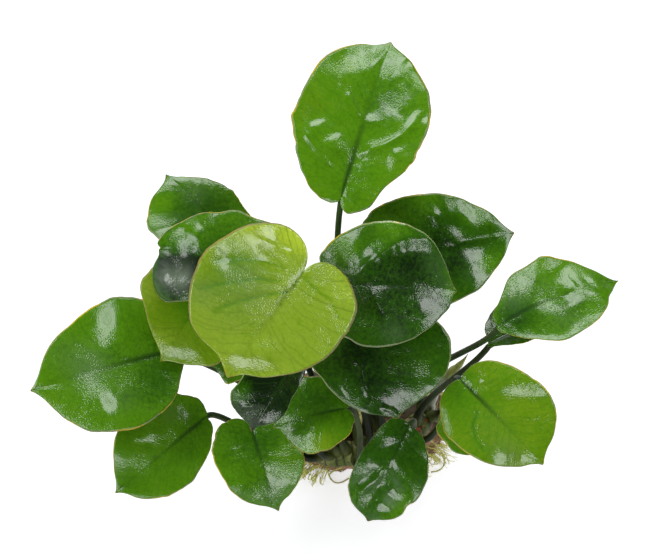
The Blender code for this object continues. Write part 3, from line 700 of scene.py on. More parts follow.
class Blade:
    """A leaf blade as a surface: turn goes round the margin from 0 at the tip to 1 in the notch at
    the seat, and out goes from -1 on the right margin over 0 on the midrib to 1 on the left margin.
    """

    WIDEST = 0.4  # the turn at the widest point, and at the backmost point of the lobe
    LOBE = 0.8
    CREASE = 0.12  # the half width of the rounded crease at the midrib, in half blade widths
    POINTED = 0.16  # how wide the drawn-out tip is, in radians round the nose
    DRIP_TIP = (0.9 * MM, 0.05)  # how long the small spike at its end is, and how wide
    CROWDING = 2.8  # how much closer the side veins leave the midrib near the seat
    SWEEP = (0.05, 0.18)  # how far they sweep forward near the seat, and how much more at the tip
    RIPPLES = (17, 2, 900)  # the wave round the margin, across the blade, and its shift with length
    MIDDLE = 0.45  # where the blade's middle lies on its midrib
    BRIM = 0.35 * MM  # how round a sharper fold is

    def __init__(self, leaf):
        self.leaf = leaf
        self.seat = at_height(leaf.seat, leaf.seat_height)
        tip = at_height(leaf.tip, leaf.tip_height)
        self.length = (tip - self.seat).length
        self.along = (tip - self.seat).normalized()
        facing = (EYE_POINT - self.seat).normalized() + UP * LEVEL_FACING
        upper = (facing - self.along * facing.dot(self.along)).normalized()
        self.upper = Quaternion(self.along, math.radians(leaf.roll)) @ upper
        self.across = self.upper.cross(self.along)
        self.width = 0.4 * self.length
        self.seed = Vector((leaf.seat[0] * 0.37, leaf.seat[1] * 0.53, leaf.tip[0] * 0.29))
        self.widest = [self.measure(leaf.left), self.measure(leaf.right)]
        self.lobes = [self.measure(leaf.left_lobe), self.measure(leaf.right_lobe)]
        self.creases = self.lines(CREASES)
        self.folds = self.lines(FOLDS)
        self.dents = self.marks(DENTS)
        self.tone_marks_and_painted_shade = self.marks(TONE_MARKS_AND_PAINTED_SHADE)
        self.painted_sheens = self.marks(PAINTED_SHEENS)
        self.tilts = []
        self.edges = {}
        self.pucker()

    def lines(self, table):
        """This leaf's own lines of a table: their points on the blade, and the rest of each row."""
        rows = table.get(self.leaf.name, ())
        return [([self.measure(pixel) for pixel in pixels], *rest) for pixels, *rest in rows]

    def marks(self, table):
        """This leaf's own marks of a table: their places on the blade, their sizes and the rest."""
        marks = table.get(self.leaf.name, ())
        return [(self.measure(pixel), first, second) for pixel, first, second in marks]

    def measure(self, pixel):
        """How far along and across the blade a pixel of the picture lies."""
        along = across = height = 0
        for _ in range(4):
            offset = on_plane(pixel, self.seat + self.upper * height, self.upper) - self.seat
            along = offset.dot(self.along)
            across = offset.dot(self.across)
            height = self.lift(along, across)
        return Vector((along, across))

    def lift(self, along, across):
        """How far a point of the blade stands out of the plane through its seat and tip."""
        leaf = self.leaf
        x = along / self.length
        y = across / self.width
        lift = leaf.arch * 4 * x * (1 - x) * self.length
        lift += leaf.fold * self.width * (math.hypot(y, self.CREASE) - self.CREASE)
        lift -= leaf.curl * self.length * max(0, (x - 0.6) / 0.4) ** 2
        return lift

    def margin(self, side, turn):
        """A point of the margin, along and across."""
        leaf = self.leaf
        widest = self.widest[side]
        lobe = self.lobes[side]
        point = leaf.point * MM
        if turn < self.WIDEST:
            angle = turn / self.WIDEST * math.pi / 2
            power = 2 / leaf.nose[side]
            reach = self.length - point - self.DRIP_TIP[0] - widest.x
            along = widest.x + reach * math.cos(angle) ** power
            along += point * math.exp(-((angle / self.POINTED) ** 2))
            along += self.DRIP_TIP[0] * math.exp(-((angle / self.DRIP_TIP[1]) ** 2))
            return Vector((along, widest.y * math.sin(angle) ** power))
        if turn < self.LOBE:
            angle = (turn - self.WIDEST) / (self.LOBE - self.WIDEST) * math.pi / 2
            power = 2 / leaf.shoulder
            along = lobe.x + (widest.x - lobe.x) * (1 - math.sin(angle) ** power)
            return Vector((along, lobe.y + (widest.y - lobe.y) * math.cos(angle) ** power))
        angle = (turn - self.LOBE) / (1 - self.LOBE) * math.pi / 2
        return Vector((lobe.x * math.cos(angle), lobe.y * (1 - math.sin(angle))))

    def edge(self, side, turn):
        """A point of the margin as it grew: drawn in, swollen out and a little frilled."""
        if (side, turn) not in self.edges:
            margin = self.margin(side, turn)
            outward = (margin - Vector((self.MIDDLE * self.length, 0))).normalized()
            frill = noise.noise(self.seed + Vector((turn * 10, 3 * side, 0)))
            frill += 0.6 * noise.noise(self.seed + Vector((turn * 26, 3 * side, 0)))
            push = FRILL * frill * math.sin(math.pi * turn)
            for place, rise, half_width in self.dents:
                push += rise * MM * math.exp(-(((margin - place).length / (half_width * MM)) ** 2))
            self.edges[side, turn] = margin + outward * push
        return self.edges[side, turn]

    def change(self, marks, turn, out):
        """What a table of soft round marks adds up to at a place."""
        flat = self.flat(turn, out)
        return sum(
            amount * math.exp(-(((flat - place).length / (radius * MM)) ** 2))
            for place, radius, amount in marks
        )

    def sunk(self, turn, out):
        """How near a place is to the bottom of a valley, from 0 to 1."""
        flat = self.flat(turn, out)
        near = [
            math.exp(-((off_line(flat, line).length / (0.5 * half_width * MM)) ** 2))
            for line, rise, half_width in self.creases
            if rise < 0
        ]
        return max(near, default=0)

    def vein(self, turn, side):
        """How near a place is to a side vein, from 0 between two veins to 1 on one."""
        wander = 0.3 * noise.noise(self.seed + Vector((turn * 3, side * 5, 0)))
        phase = (turn**0.85 * SIDE_VEINS + wander + 0.35 * side) % 1
        return abs(2 * phase - 1)

    def relief(self, turn, out, flat):
        """The blade's own modelling: the midrib's groove, swellings between veins and soft dents."""
        part = abs(out)
        groove = math.exp(-((flat.y / GROOVE_WIDTH) ** 2)) * max(0, 1 - 1.3 * flat.x / self.length)
        height = -GROOVE_DEPTH * groove
        between = 1 - self.vein(turn, LEFT if out > 0 else RIGHT) ** 2.5
        for line, rise, half_width in self.creases:
            height += rise * MM * math.exp(-((off_line(flat, line).length / (half_width * MM)) ** 2))
        for line, rise, half_width in self.folds:
            away = math.hypot(off_line(flat, line).length, self.BRIM)
            height += rise * MM * math.exp(-away / (half_width * MM))
        for line, slopes, half_width in self.tilts:
            step = off_line(flat, line)
            height += slopes.dot(step) * math.exp(-((step.length / (half_width * MM)) ** 2))
        swelling = between * math.sin(math.pi * part**0.8) * math.sin(math.pi * turn)
        height += 0.5 * self.leaf.quilt * MM * swelling
        dents = noise.noise(self.seed + Vector((flat.x, flat.y, 0)) / SWELL_SIZE)
        dents += 0.15 * noise.noise(self.seed - Vector((flat.x, flat.y, 0)) / (0.35 * SWELL_SIZE))
        return height + dents * self.leaf.quilt * 1.5 * MM * min(1, part * 3)

    def flat(self, turn, out):
        """Where a place is along and across the blade: it lies on a side vein, from midrib to margin."""
        edge = self.edge(LEFT if out > 0 else RIGHT, turn)
        start = Vector((self.length * (1 - turn) ** self.CROWDING, 0))
        sweep = self.SWEEP[0] + self.SWEEP[1] * (1 - turn)
        bend = (start + edge) / 2 + Vector((sweep * abs(edge.y), 0))
        part = abs(out)
        return start * (1 - part) ** 2 + bend * 2 * part * (1 - part) + edge * part**2

    def point(self, turn, out):
        """A point of the blade in space."""
        flat = self.flat(turn, out)
        round_margin, across_blade, shift = self.RIPPLES
        wave = math.sin(turn * round_margin + out * across_blade + self.length * shift)
        wave *= self.leaf.ripple * MM * abs(out) ** 3 * math.sin(math.pi * turn)
        height = self.lift(flat.x, flat.y) + wave + self.relief(turn, out, flat)
        return self.seat + self.along * flat.x + self.across * flat.y + self.upper * height

    def net_spot(self, row, column):
        """A knot of the net over the blade, as its turn and out."""
        first, last = NET_ENDS
        return max(first, min(last, (row / NET) ** NET_CROWDING)), 2 * column / NET - 1

    def knots_near(self, net, pixel):
        """The knots among which the one that the eye sees at a pixel must be."""
        place = self.measure(pixel)
        away = {knot: (flat - place).length for knot, flat in net.items()}
        reach = min(away.values()) + NET_REACH
        return [knot for knot, length in away.items() if length < reach]

    def seen(self, pixel, knots):
        """The place of the blade that the eye sees at a pixel, and the blade's normal there."""
        places = {knot: self.point(*self.net_spot(*knot)) for knot in knots}
        row, column = min(knots, key=lambda knot: (pixel_of(places[knot]) - Vector(pixel)).length)
        ahead = self.point(*self.net_spot(row + 1, column)) - self.point(*self.net_spot(row - 1, column))
        aside = self.point(*self.net_spot(row, column + 1)) - self.point(*self.net_spot(row, column - 1))
        normal = ahead.cross(aside).normalized()
        return places[row, column], normal * math.copysign(1, normal.dot(self.upper))

    def slopes(self, normal):
        """How much a surface with this normal rises along and across the blade."""
        return -Vector((normal.dot(self.along), normal.dot(self.across))) / normal.dot(self.upper)

    def pucker(self):
        """Works out how the puckers lean, in rounds, since each one also moves its neighbours."""
        rows = [(*row, WINDOW_PLACES) for row in GLINTS.get(self.leaf.name, ())]
        rows += [(*row, HIGH_ABOVE) for row in DULL.get(self.leaf.name, ())]
        if not rows:
            return
        net = {
            (row, column): self.flat(*self.net_spot(row, column))
            for row in range(1, NET)
            for column in range(1, NET)
        }
        knots = {pixel: self.knots_near(net, pixel) for pixels, *_ in rows for pixel in pixels}
        middles = [[self.measure(pixel) for pixel in pixels] for pixels, *_ in rows]
        leans = [Vector((0, 0)) for _ in rows]
        for share in LEAN_ROUNDS:
            for number, (pixels, _, part, goals) in enumerate(rows):
                spots = [self.seen(pixel, knots[pixel]) for pixel in pixels]
                goal = min(goals, key=lambda goal: far_from_mirroring(spots, goal))
                missing = Vector((0, 0))
                for place, normal in spots:
                    missing += self.slopes(mirroring(place, goal)) - self.slopes(normal)
                lean = leans[number] + missing * (part * share / len(spots))
                leans[number] = lean * min(1, STEEPEST_LEAN / max(lean.length, 1e-9))
            self.tilts = [(middle, lean, row[1]) for middle, lean, row in zip(middles, leans, rows)]


def blade_shell(blade):
    """Both faces of a blade, which meet at the margin, and what its skin needs to know."""
    columns = 2 * HALF_COLUMNS + 1
    upper, lower, faces, sides = [], [], [], []
    outs, turns, veins, greens, painted_sheens = [], [], [], [], []
    for row in range(BLADE_ROWS + 1):
        turn = (row / BLADE_ROWS) ** ROW_CROWDING
        for column in range(columns):
            line = column / HALF_COLUMNS - 1
            out = line * (1 - COLUMN_CROWDING + COLUMN_CROWDING * line * line)
            spot = blade.point(turn, out)
            thick = blade.upper * (BLADE_THICKNESS / 2 * math.sqrt(max(0, 1 - abs(out) ** 3)))
            upper.append(spot + thick)
            lower.append(spot - thick)
            outs.append(out)
            turns.append(turn)
            veins.append(blade.vein(turn, LEFT if out > 0 else RIGHT))
            # Painted shade: the green is painted darker along each valley.
            shade = blade.change(blade.tone_marks_and_painted_shade, turn, out) - VALLEY_PAINTED_SHADE * blade.sunk(turn, out)
            greens.append(blade.leaf.green + shade)
            painted_sheens.append(blade.change(blade.painted_sheens, turn, out))
    below = len(upper)
    for row in range(BLADE_ROWS):
        for column in range(columns - 1):
            here = row * columns + column
            quad = (here, here + 1, here + 1 + columns, here + columns)
            faces.append(quad)
            faces.append(tuple(index + below for index in reversed(quad)))
            sides += [0, 1]
    values = {"out": outs, "turn": turns, "vein": veins, "green": greens, "painted_sheen": painted_sheens}
    return upper + lower, faces, sides, {name: numbers * 2 for name, numbers in values.items()}


# Leaf skin, grown: a waxy cuticle, wet here, over green tissue. It mirrors light in sharp-edged
# patches that break up where the cells show, its veins are faint and its margin dries yellow-brown.
# A grey-green painted reflection lies on it where the table marks a sheen, and painted shade darkens
# some places. The net of cells is drawn about three times as coarse as it is, so that it can be told at
# all.
CELL_SIZE = 0.85 * MM
FINE_VEINS = 46  # finer side veins from the tip to the seat
cuticle, tree, surface = start_material("wet_leaf_skin")
out, turn, vein, tone_with_painted_shade, painted_sheen = (
    node(tree, "ShaderNodeAttribute", attribute_name=name).outputs["Fac"]
    for name in ("out", "turn", "vein", "green", "painted_sheen")
)
part = node(tree, "ShaderNodeMath", {0: out}, operation="ABSOLUTE").outputs[0]
for change in (
    (grain(tree, 14 * MM, 3), 0.3, 0.7, -0.05, 0.05),
    (grain(tree, 1.3 * MM, 5, 0.75), 0.25, 0.75, -0.11, 0.11),
    (part, 0.3, 1.0, -0.02, 0.05),
):
    tone_with_painted_shade = node(tree, "ShaderNodeMath", {0: tone_with_painted_shade, 1: shown(tree, change)}, operation="ADD").outputs[0]
# The green ramp reads the leaf's tone, with the painted shade and painted light laid on it.
green = coat(tree, "#10240a", "#2f6003", (tone_with_painted_shade, 0.0, 0.3))
green = coat(tree, green, "#548c04", (tone_with_painted_shade, 0.25, 0.6))
green = coat(tree, green, "#739a0c", (tone_with_painted_shade, 0.55, 0.85))
green = coat(tree, green, "#89a92a", (tone_with_painted_shade, 0.8, 1.0))
green = coat(tree, green, "#b2cc34", (tone_with_painted_shade, 1.0, 1.3))
inputs = {0: grain(tree, 8 * MM, 2), 1: 3.0}
wander = node(tree, "ShaderNodeMath", inputs, operation="MULTIPLY").outputs[0]
inputs = {0: turn, 1: FINE_VEINS, 2: wander}
passed = node(tree, "ShaderNodeMath", inputs, operation="MULTIPLY_ADD").outputs[0]
fine_line = node(tree, "ShaderNodeMath", {0: passed, 1: 1.0}, operation="PINGPONG").outputs[0]
green = coat(tree, green, "#2f5c0a", (fine_line, 0.75, 1.0, 0, 0.2))
vein_tone = coat(tree, "#5a8c1c", "#5f7a18", (tone_with_painted_shade, 0.6, 0.85))
green = coat(tree, green, vein_tone, (vein, 0.9, 1.0), (tone_with_painted_shade, 0.4, 0.8, 0.1, 0.45))
midrib = (part, 0.0, 0.08, 1, 0), (turn, 0.1, 0.5, 0.12, 0.85), (tone_with_painted_shade, 0.85, 1.0, 1, 0.4)
green = coat(tree, green, "#1c3f0a", *midrib)
# Painted reflection: a grey-green sheen laid over the green where the sheen table marks it.
green = coat(tree, green, "#6f7f6a", (painted_sheen, 0.0, 1.2))
dried = coat(tree, "#a5b678", "#ecd23c", (tone_with_painted_shade, 0.36, 0.47), (grain(tree, 11 * MM), 0.38, 0.52))
dried = coat(tree, dried, "#a69a58", (tone_with_painted_shade, 0.68, 0.82, 0, 0.85))
green = coat(tree, green, dried, (part, 0.972, 0.985, 0, 0.95))
green = coat(tree, green, "#b07c28", (turn, 0.0, 0.035, 1, 0), (part, 0.5, 1.0))
place = node(tree, "ShaderNodeTexCoord").outputs["Object"]
inputs = {"Vector": place, "Scale": 1 / CELL_SIZE}
net = node(tree, "ShaderNodeTexVoronoi", inputs, feature="DISTANCE_TO_EDGE")
walls = shown(tree, (net.outputs["Distance"], 0.0, 0.35))
lumps = grain(tree, 0.6 * MM, 2, 0.6)
cells = node(tree, "ShaderNodeMath", {0: lumps, 1: 0.8, 2: walls}, operation="MULTIPLY_ADD").outputs[0]
cells_show = shown(tree, (grain(tree, 7 * MM, 3, 0.6), 0.42, 0.58, 0.2, 0.85))
inputs = {
    "Base Color": green,
    "Roughness": shown(tree, (grain(tree, 7 * MM, 3), 0.35, 0.65, 0.34, 0.44)),
    "Specular IOR Level": 0.1,
    "Coat Weight": 1.0,
    "Coat Roughness": 0.1,
    "Coat IOR": 1.52,
}
relief = finish(tree, surface, inputs, cells, cells_show, 0.05 * MM)
tree.links.new(relief, surface.inputs["Coat Normal"])

# The same leaf's underside: paler, greyish and matt, without the cuticle's gloss.
underside, tree, surface = start_material("leaf_underside")
out, vein, tone_with_painted_shade = (
    node(tree, "ShaderNodeAttribute", attribute_name=name).outputs["Fac"]
    for name in ("out", "vein", "green")
)
part = node(tree, "ShaderNodeMath", {0: out}, operation="ABSOLUTE").outputs[0]
pale = coat(tree, "#56803c", "#a9ba5c", (tone_with_painted_shade, 0.1, 1.0))
pale = coat(tree, pale, "#8aa565", (grain(tree, 9 * MM), 0.35, 0.65, 0, 0.4))
pale = coat(tree, pale, "#4f7433", (vein, 0.85, 1.0, 0, 0.35))
dried = coat(tree, "#a5b678", "#dcbb3c", (tone_with_painted_shade, 0.36, 0.47), (grain(tree, 11 * MM), 0.38, 0.52))
pale = coat(tree, pale, dried, (part, 0.97, 0.985, 0, 0.85))
finish(tree, surface, {"Base Color": pale, "Roughness": 0.5}, grain(tree, 0.8 * MM, 3), 0.3, 0.1 * MM)

WELD = 0.015 * MM  # points of the shell as close as this are one
BLADES = [Blade(leaf) for leaf in LEAVES]
for blade in BLADES:
    verts, faces, sides, values = blade_shell(blade)
    made = mesh_piece(
        "blade_" + blade.leaf.name, verts, faces, [cuticle, underside], "leaf_" + blade.leaf.name,
        slot=blade.leaf.slot, face_materials=sides, values=values,
    )
    shape = bmesh.new()
    shape.from_mesh(made.data)
    bmesh.ops.remove_doubles(shape, verts=shape.verts, dist=WELD)
    shape.to_mesh(made.data)
    shape.free()

# The stalks
# Each blade's stalk is a firm fleshy stem, 2.2 mm thick, that clasps the rhizome at its foot and
# runs on under the blade as the midrib, thinner and thinner to the tip.
STALK_RADIUS = 0.0011
STALK_FOOT_RADIUS = 0.0015
STALK_FLARE = 0.8 * MM  # how much its foot spreads where it clasps the rhizome
STALK_ROOTED = 2.4 * MM  # how far the foot runs on into the rhizome
STALK_RISE = 0.35  # how far a stalk goes straight out of the rhizome, as a share of its span
STALK_ARRIVAL = 0.22  # how far it runs under the blade, as a share of its span
STALK_SLANT = (0.6, 0.8)  # its direction there: how much along the blade, and how much up to it
STALK_SETTING = 0.6  # how far its middle line ends below the blade, in stalk radii
CAD_BLADE_THICKNESS = 0.0011
STALK_RINGS = 40
STALK_SIDES = 14
RIB_RINGS = 26
RIB_REACH = 0.86  # how far the rib under the blade can be told, as a share of its length
RIB_END_RADIUS = 0.15 * MM


def bezier(ends, part):
    """A point of the cubic curve with these four control points."""
    back = 1 - part
    weights = (back**3, 3 * back**2 * part, 3 * back * part**2, part**3)
    return sum((end * weight for end, weight in zip(ends, weights)), Vector((0, 0, 0)))


def stalk_ends(blade):
    """The stalk's four control points: up out of the rhizome, and from below and behind to the seat."""
    leaf = blade.leaf
    _, rise, front = rhizome_frame(leaf.root)
    lean = math.radians(leaf.lean)
    outward = rise * math.cos(lean) + front * math.sin(lean)
    foot = rhizome_point(leaf.root) + outward * (RHIZOME_RADIUS + RHIZOME_RING + 2 * GAP)
    arrival = (blade.along * STALK_SLANT[0] + blade.upper * STALK_SLANT[1]).normalized()
    top = blade.seat - blade.upper * (CAD_BLADE_THICKNESS / 2 + STALK_RADIUS * STALK_SETTING + 2 * GAP)
    reach = (top - foot).length
    return foot, foot + outward * reach * STALK_RISE, top - arrival * reach * STALK_ARRIVAL, top


# Stalk skin, grown: smooth and waxy, dark green above, paler and brownish on the shaded side, with a paler
# foot. Painted shade makes it nearly black low down, under the leaves.
stalk_skin, tree, surface = start_material("stalk_skin")
facing = node(tree, "ShaderNodeAttribute", attribute_name="facing").outputs["Fac"]
height = node(tree, "ShaderNodeAttribute", attribute_name="height").outputs["Fac"]
streaks = grain(tree, 1.4 * MM, 3, 0.6, (1, 1, 0.12))
skin = coat(tree, "#4c5a30", "#34501c", (facing, -0.5, 0.5))
# Painted shade: nearly black low down, under the leaves.
skin = coat(tree, skin, "#141f08", (height, 0.15, 0.7, 0.92, 0))
skin = coat(tree, skin, "#66703a", (height, 0.03, 0.14, 0.75, 0))
skin = coat(tree, skin, "#1c2c12", (streaks, 0.45, 0.7, 0, 0.5))
inputs = {"Base Color": skin, "Roughness": 0.38, "Specular IOR Level": 0.2}
finish(tree, surface, inputs, streaks, 0.3, 0.1 * MM)

for blade in BLADES:
    ends = stalk_ends(blade)
    outward = (ends[1] - ends[0]).normalized()
    path = [ends[0] - outward * STALK_ROOTED]
    radii = [STALK_FOOT_RADIUS + 0.9 * MM]
    for ring in range(STALK_RINGS + 1):
        part = ring / STALK_RINGS
        flare = STALK_FLARE * math.exp(-part / 0.05)
        path.append(bezier(ends, part))
        radii.append(STALK_RADIUS + (STALK_FOOT_RADIUS - STALK_RADIUS) * (1 - part) ** 3 + flare)
    for ring in range(1, RIB_RINGS + 1):
        part = ring / RIB_RINGS
        x = blade.length * RIB_REACH * part**1.5
        thickness = (STALK_RADIUS - RIB_END_RADIUS) * (1 - part) ** 0.8 + RIB_END_RADIUS
        turn = 1 - (x / blade.length) ** (1 / Blade.CROWDING)
        path.append(blade.point(turn, 0) - blade.upper * (thickness + 0.12 * MM))
        radii.append(thickness)
    verts, faces, facing = tube(path, radii, STALK_SIDES)
    heights = ring_values([min(1, ring / STALK_RINGS) for ring in range(len(path))], STALK_SIDES)
    mesh_piece(
        "stem_" + blade.leaf.name, verts, faces, [stalk_skin], "stalk_" + blade.leaf.name,
        slot="stalk", values={"facing": facing, "height": heights},
    )

# The young sheath
# At the growing end a pale papery sheath, rolled to a point, wraps the next leaf.
SHOOT_ROOT = 0.985  # where it leaves the rhizome
SHOOT_PIXELS = ((452, 378, 52), (468, 354, 72))  # its foot and tip, with heights in millimetres
SHOOT_LEAN = 0.3  # how much it leans the way the rhizome grows
SHOOT_RISE = 0.8  # how far it keeps that direction, as a share of the way to its own foot
SHEATH_RADIUS = 0.0014
SHEATH_SWELL = 0.0006
SHEATH_RINGS = 40
SHEATH_SIDES = 16

sheath_skin, tree, surface = start_material("pale_sheath_skin")
height = node(tree, "ShaderNodeAttribute", attribute_name="height").outputs["Fac"]
streaks = grain(tree, 0.9 * MM, 3, 0.6, (1, 1, 0.1))
skin = coat(tree, "#e2e4d4", "#c3cb62", (height, 0.35, 0.7))
skin = coat(tree, skin, "#93a04a", (streaks, 0.45, 0.7, 0, 0.5))
finish(tree, surface, {"Base Color": skin, "Roughness": 0.4}, streaks, 0.4, 0.15 * MM)

growth, rise, _ = rhizome_frame(SHOOT_ROOT)
outward = (rise + growth * SHOOT_LEAN).normalized()
foot = rhizome_point(SHOOT_ROOT) + outward * (RHIZOME_RADIUS + RHIZOME_RING + 2 * GAP)
lower, upper = (at_height(pixel[:2], pixel[2]) for pixel in SHOOT_PIXELS)
ends = (foot, foot + outward * (lower - foot).length * SHOOT_RISE, lower, upper)
path = [foot - outward * STALK_ROOTED]
radii = [SHEATH_RADIUS + STALK_FLARE]
for ring in range(SHEATH_RINGS + 1):
    part = ring / SHEATH_RINGS
    path.append(bezier(ends, part))
    seam = 0.12 * MM * math.sin(part * 40)
    thickness = SHEATH_RADIUS + SHEATH_SWELL * math.sin(math.pi * part) + seam
    radii.append(max(0.1 * MM, thickness * (1 - part**5)))
verts, faces, _ = tube(path, radii, SHEATH_SIDES)
heights = ring_values([min(1, ring / SHEATH_RINGS) for ring in range(len(path))], SHEATH_SIDES)
mesh_piece("young_sheath", verts, faces, [sheath_skin], "shoot", slot="sheath", values={"height": heights})

# The roots
# Tough round roots, about 1.2 mm thick, grip the stone from the rhizome down to the ground, and two
# hang loose in front.
ROOT_RADIUS = 0.0006
HANGING_RADIUS = 0.0004  # the free roots have dried thinner than the ones on the stone
ROOT_START = 0.245  # how far from the rhizome's middle line a root starts, in stone radii
ROOT_TAPER = 0.35  # the share of its thickness that a root loses on its way down
ROOT_STEPS = 44
ROOT_SIDES = 8

# A root on the stone: where it leaves the rhizome from 0 to 1, which side it leaves (-1 is downhill,
# 1 is uphill), the azimuth and elevation in degrees, from the stone's middle, where it ends, and how
# far it bends aside on its way, in stone radii.
Root = namedtuple("Root", "start side azimuth elevation sway")

ROOTS = [
    Root(0.06, -1, -164, -11, 0.06),
    Root(0.38, -1, -100, -15, -0.05),
    Root(0.60, -1, -80, -15, 0.08),
    Root(0.84, -1, -56, -13, -0.06),
    Root(0.22, 1, 150, -8, 0.16),
    Root(0.50, 1, 98, -12, -0.06),
    Root(0.74, 1, 40, -11, 0.12),
]

# A loose root: pixels read off, each with its height in millimetres
LOOSE_ROOTS = [
    ((342, 467, 11), (335, 470, 7.5), (329, 475, 3.5), (334, 482, 1.2), (342, 482, 0.9), (349, 478, 0.9)),
    ((430, 440, 20), (437, 446, 16), (443, 455, 9), (444, 464, 3.5), (439, 470, 0.9), (431, 472, 0.9)),
]

# Root skin, grown: dull and yellow-green where young, browned in patches.
root_skin, tree, surface = start_material("root_skin")
skin = coat(tree, "#c4c066", "#dcda90", (grain(tree, 7 * MM), 0.38, 0.62))
skin = coat(tree, skin, "#79633a", (grain(tree, 1.2 * MM, 3), 0.5, 0.72, 0, 0.6))
finish(tree, surface, {"Base Color": skin, "Roughness": 0.5}, grain(tree, 0.5 * MM, 3), 0.4, 0.1 * MM)


def root_path(root, steps):
    """The root's route on the stone: its directions from the stone's middle."""
    start = rhizome_direction(root.start)
    uphill = start.cross(rhizome_frame(root.start)[0]).normalized()
    first = (start + uphill * root.side * ROOT_START).normalized()
    last = compass(root.azimuth, root.elevation)
    route = [start + uphill * root.side * ROOT_START * 0.5]
    for step in range(steps + 1):
        part = step / steps
        sideways = first.cross(last).normalized() * root.sway * math.sin(2 * math.pi * part)
        route.append(first.lerp(last, part) + sideways)
    return route


def rough_tube(path, radii, sides):
    """A tube whose thickness and line waver a little, as a root's do."""
    wavered = []
    for place, radius in zip(path, radii):
        wander = Vector([noise.noise(place / (3 * MM) + Vector((lag, 0, 0))) for lag in (0, 17, 31)])
        spot = place + wander * radius * 0.6
        wavered.append(Vector((spot.x, spot.y, max(spot.z, radius))))
    thick = [radius * (1 + 0.35 * noise.noise(place / (1.5 * MM))) for place, radius in zip(path, radii)]
    return tube(wavered, thick, sides)


def tapered(radius, count, loss):
    """The radii of a root that loses this part of its thickness over so many steps."""
    return [radius * (1 - loss * step / count) for step in range(count)]


for number, root in enumerate(ROOTS, 1):
    path = [on_stone(direction, ROOT_RADIUS) for direction in root_path(root, ROOT_STEPS)]
    radii = [ROOT_RADIUS * (1.1 - ROOT_TAPER * step / len(path)) for step in range(len(path))]
    verts, faces, _ = rough_tube(path, radii, ROOT_SIDES)
    mesh_piece(f"gripping_root_{number}", verts, faces, [root_skin], f"root_{number}", slot="root")


def smooth_line(spots, steps):
    """Points on a soft curve through spots, with this many steps between each two."""
    line = []
    for index in range(len(spots) - 1):
        before, here = spots[max(index - 1, 0)], spots[index]
        there, after = spots[index + 1], spots[min(index + 2, len(spots) - 1)]
        ends = (here, here + (there - before) / 6, there - (after - here) / 6, there)
        line += [bezier(ends, step / steps) for step in range(steps)]
    return line + [spots[-1]]


for number, pixels in enumerate(LOOSE_ROOTS, 1):
    path = smooth_line([at_height(pixel[:2], pixel[2]) for pixel in pixels], 8)
    radii = tapered(HANGING_RADIUS, len(path), ROOT_TAPER)
    verts, faces, _ = rough_tube(path, radii, ROOT_SIDES)
    mesh_piece(f"hanging_root_{number}", verts, faces, [root_skin], f"loose_root_{number}", slot="root")

# The rootlets
# Hair-thin young roots, yellow-green to brown. They branch from the thicker ones, cling to the rock
# and creep down over it to its foot.
ROOTLETS = 150
ROOTLET_SIDES = 6

chance = random.Random(11)
rootlet_skin, tree, surface = start_material("rootlet_skin")
skin = coat(tree, "#9c9a45", "#8b6f42", (grain(tree, 5 * MM), 0.4, 0.6))
feed(tree, surface, {"Base Color": skin, "Roughness": 0.5})


def join_tubes(tubes):
    """Several tubes as one list of vertices and faces."""
    verts, faces = [], []
    for more_verts, more_faces, _ in tubes:
        first = len(verts)
        verts += more_verts
        faces += [tuple(index + first for index in face) for face in more_faces]
    return verts, faces


tubes = []
for _ in range(ROOTLETS):
    azimuth = chance.uniform(-175, 175)
    elevation = chance.uniform(-8, 35)
    heading = chance.uniform(-1.2, 1.2)
    path = []
    for step in range(chance.randint(10, 26)):
        path.append(on_stone(compass(azimuth, elevation), 0.25 * MM))
        heading += chance.uniform(-0.35, 0.35)
        azimuth += 2.2 * math.sin(heading)
        elevation -= 1.6 * math.cos(heading)
        if path[-1].z < 0.5 * MM:
            break
    if len(path) > 3:
        radius = chance.uniform(0.13, 0.26) * MM
        tubes.append(rough_tube(path, tapered(radius, len(path), 0.5), ROOTLET_SIDES))
verts, faces = join_tubes(tubes)
mesh_piece("rootlets", verts, faces, [rootlet_skin], slot="root")

# The moss
# Two tufts of fine moss and threads at the stone's foot, soft and yellow-green: each thread is
# about a third of a millimetre thick, and thins towards its tip.

# A moss tuft at the stone's foot: azimuth and elevation of its middle in degrees, its half width and
# half height in degrees as seen from the stone's middle, how far it stands off the stone, and how many
# threads it has
Tuft = namedtuple("Tuft", "name azimuth elevation half_width half_height thickness threads")

TUFTS = [
    Tuft("moss_front_left", -135, -11, 12.5, 9, 0.006, 80),
    Tuft("moss_right", -28, -6, 17, 11, 0.005, 100),
]
MOSS_DEPTH = 0.0016  # how thick a moss tuft is at its rim
TRAILING_THREADS = 22  # longer ones that hang from a tuft and lie on the ground
THREAD_STEPS = 7
THREAD_SIDES = 5

moss_skin, tree, surface = start_material("moss_threads")
skin = coat(tree, "#dbe25a", "#f2ee98", (grain(tree, 4 * MM), 0.38, 0.62))
skin = coat(tree, skin, "#b09648", (grain(tree, 1.5 * MM), 0.55, 0.72, 0, 0.3))
feed(tree, surface, {"Base Color": skin, "Roughness": 0.65})

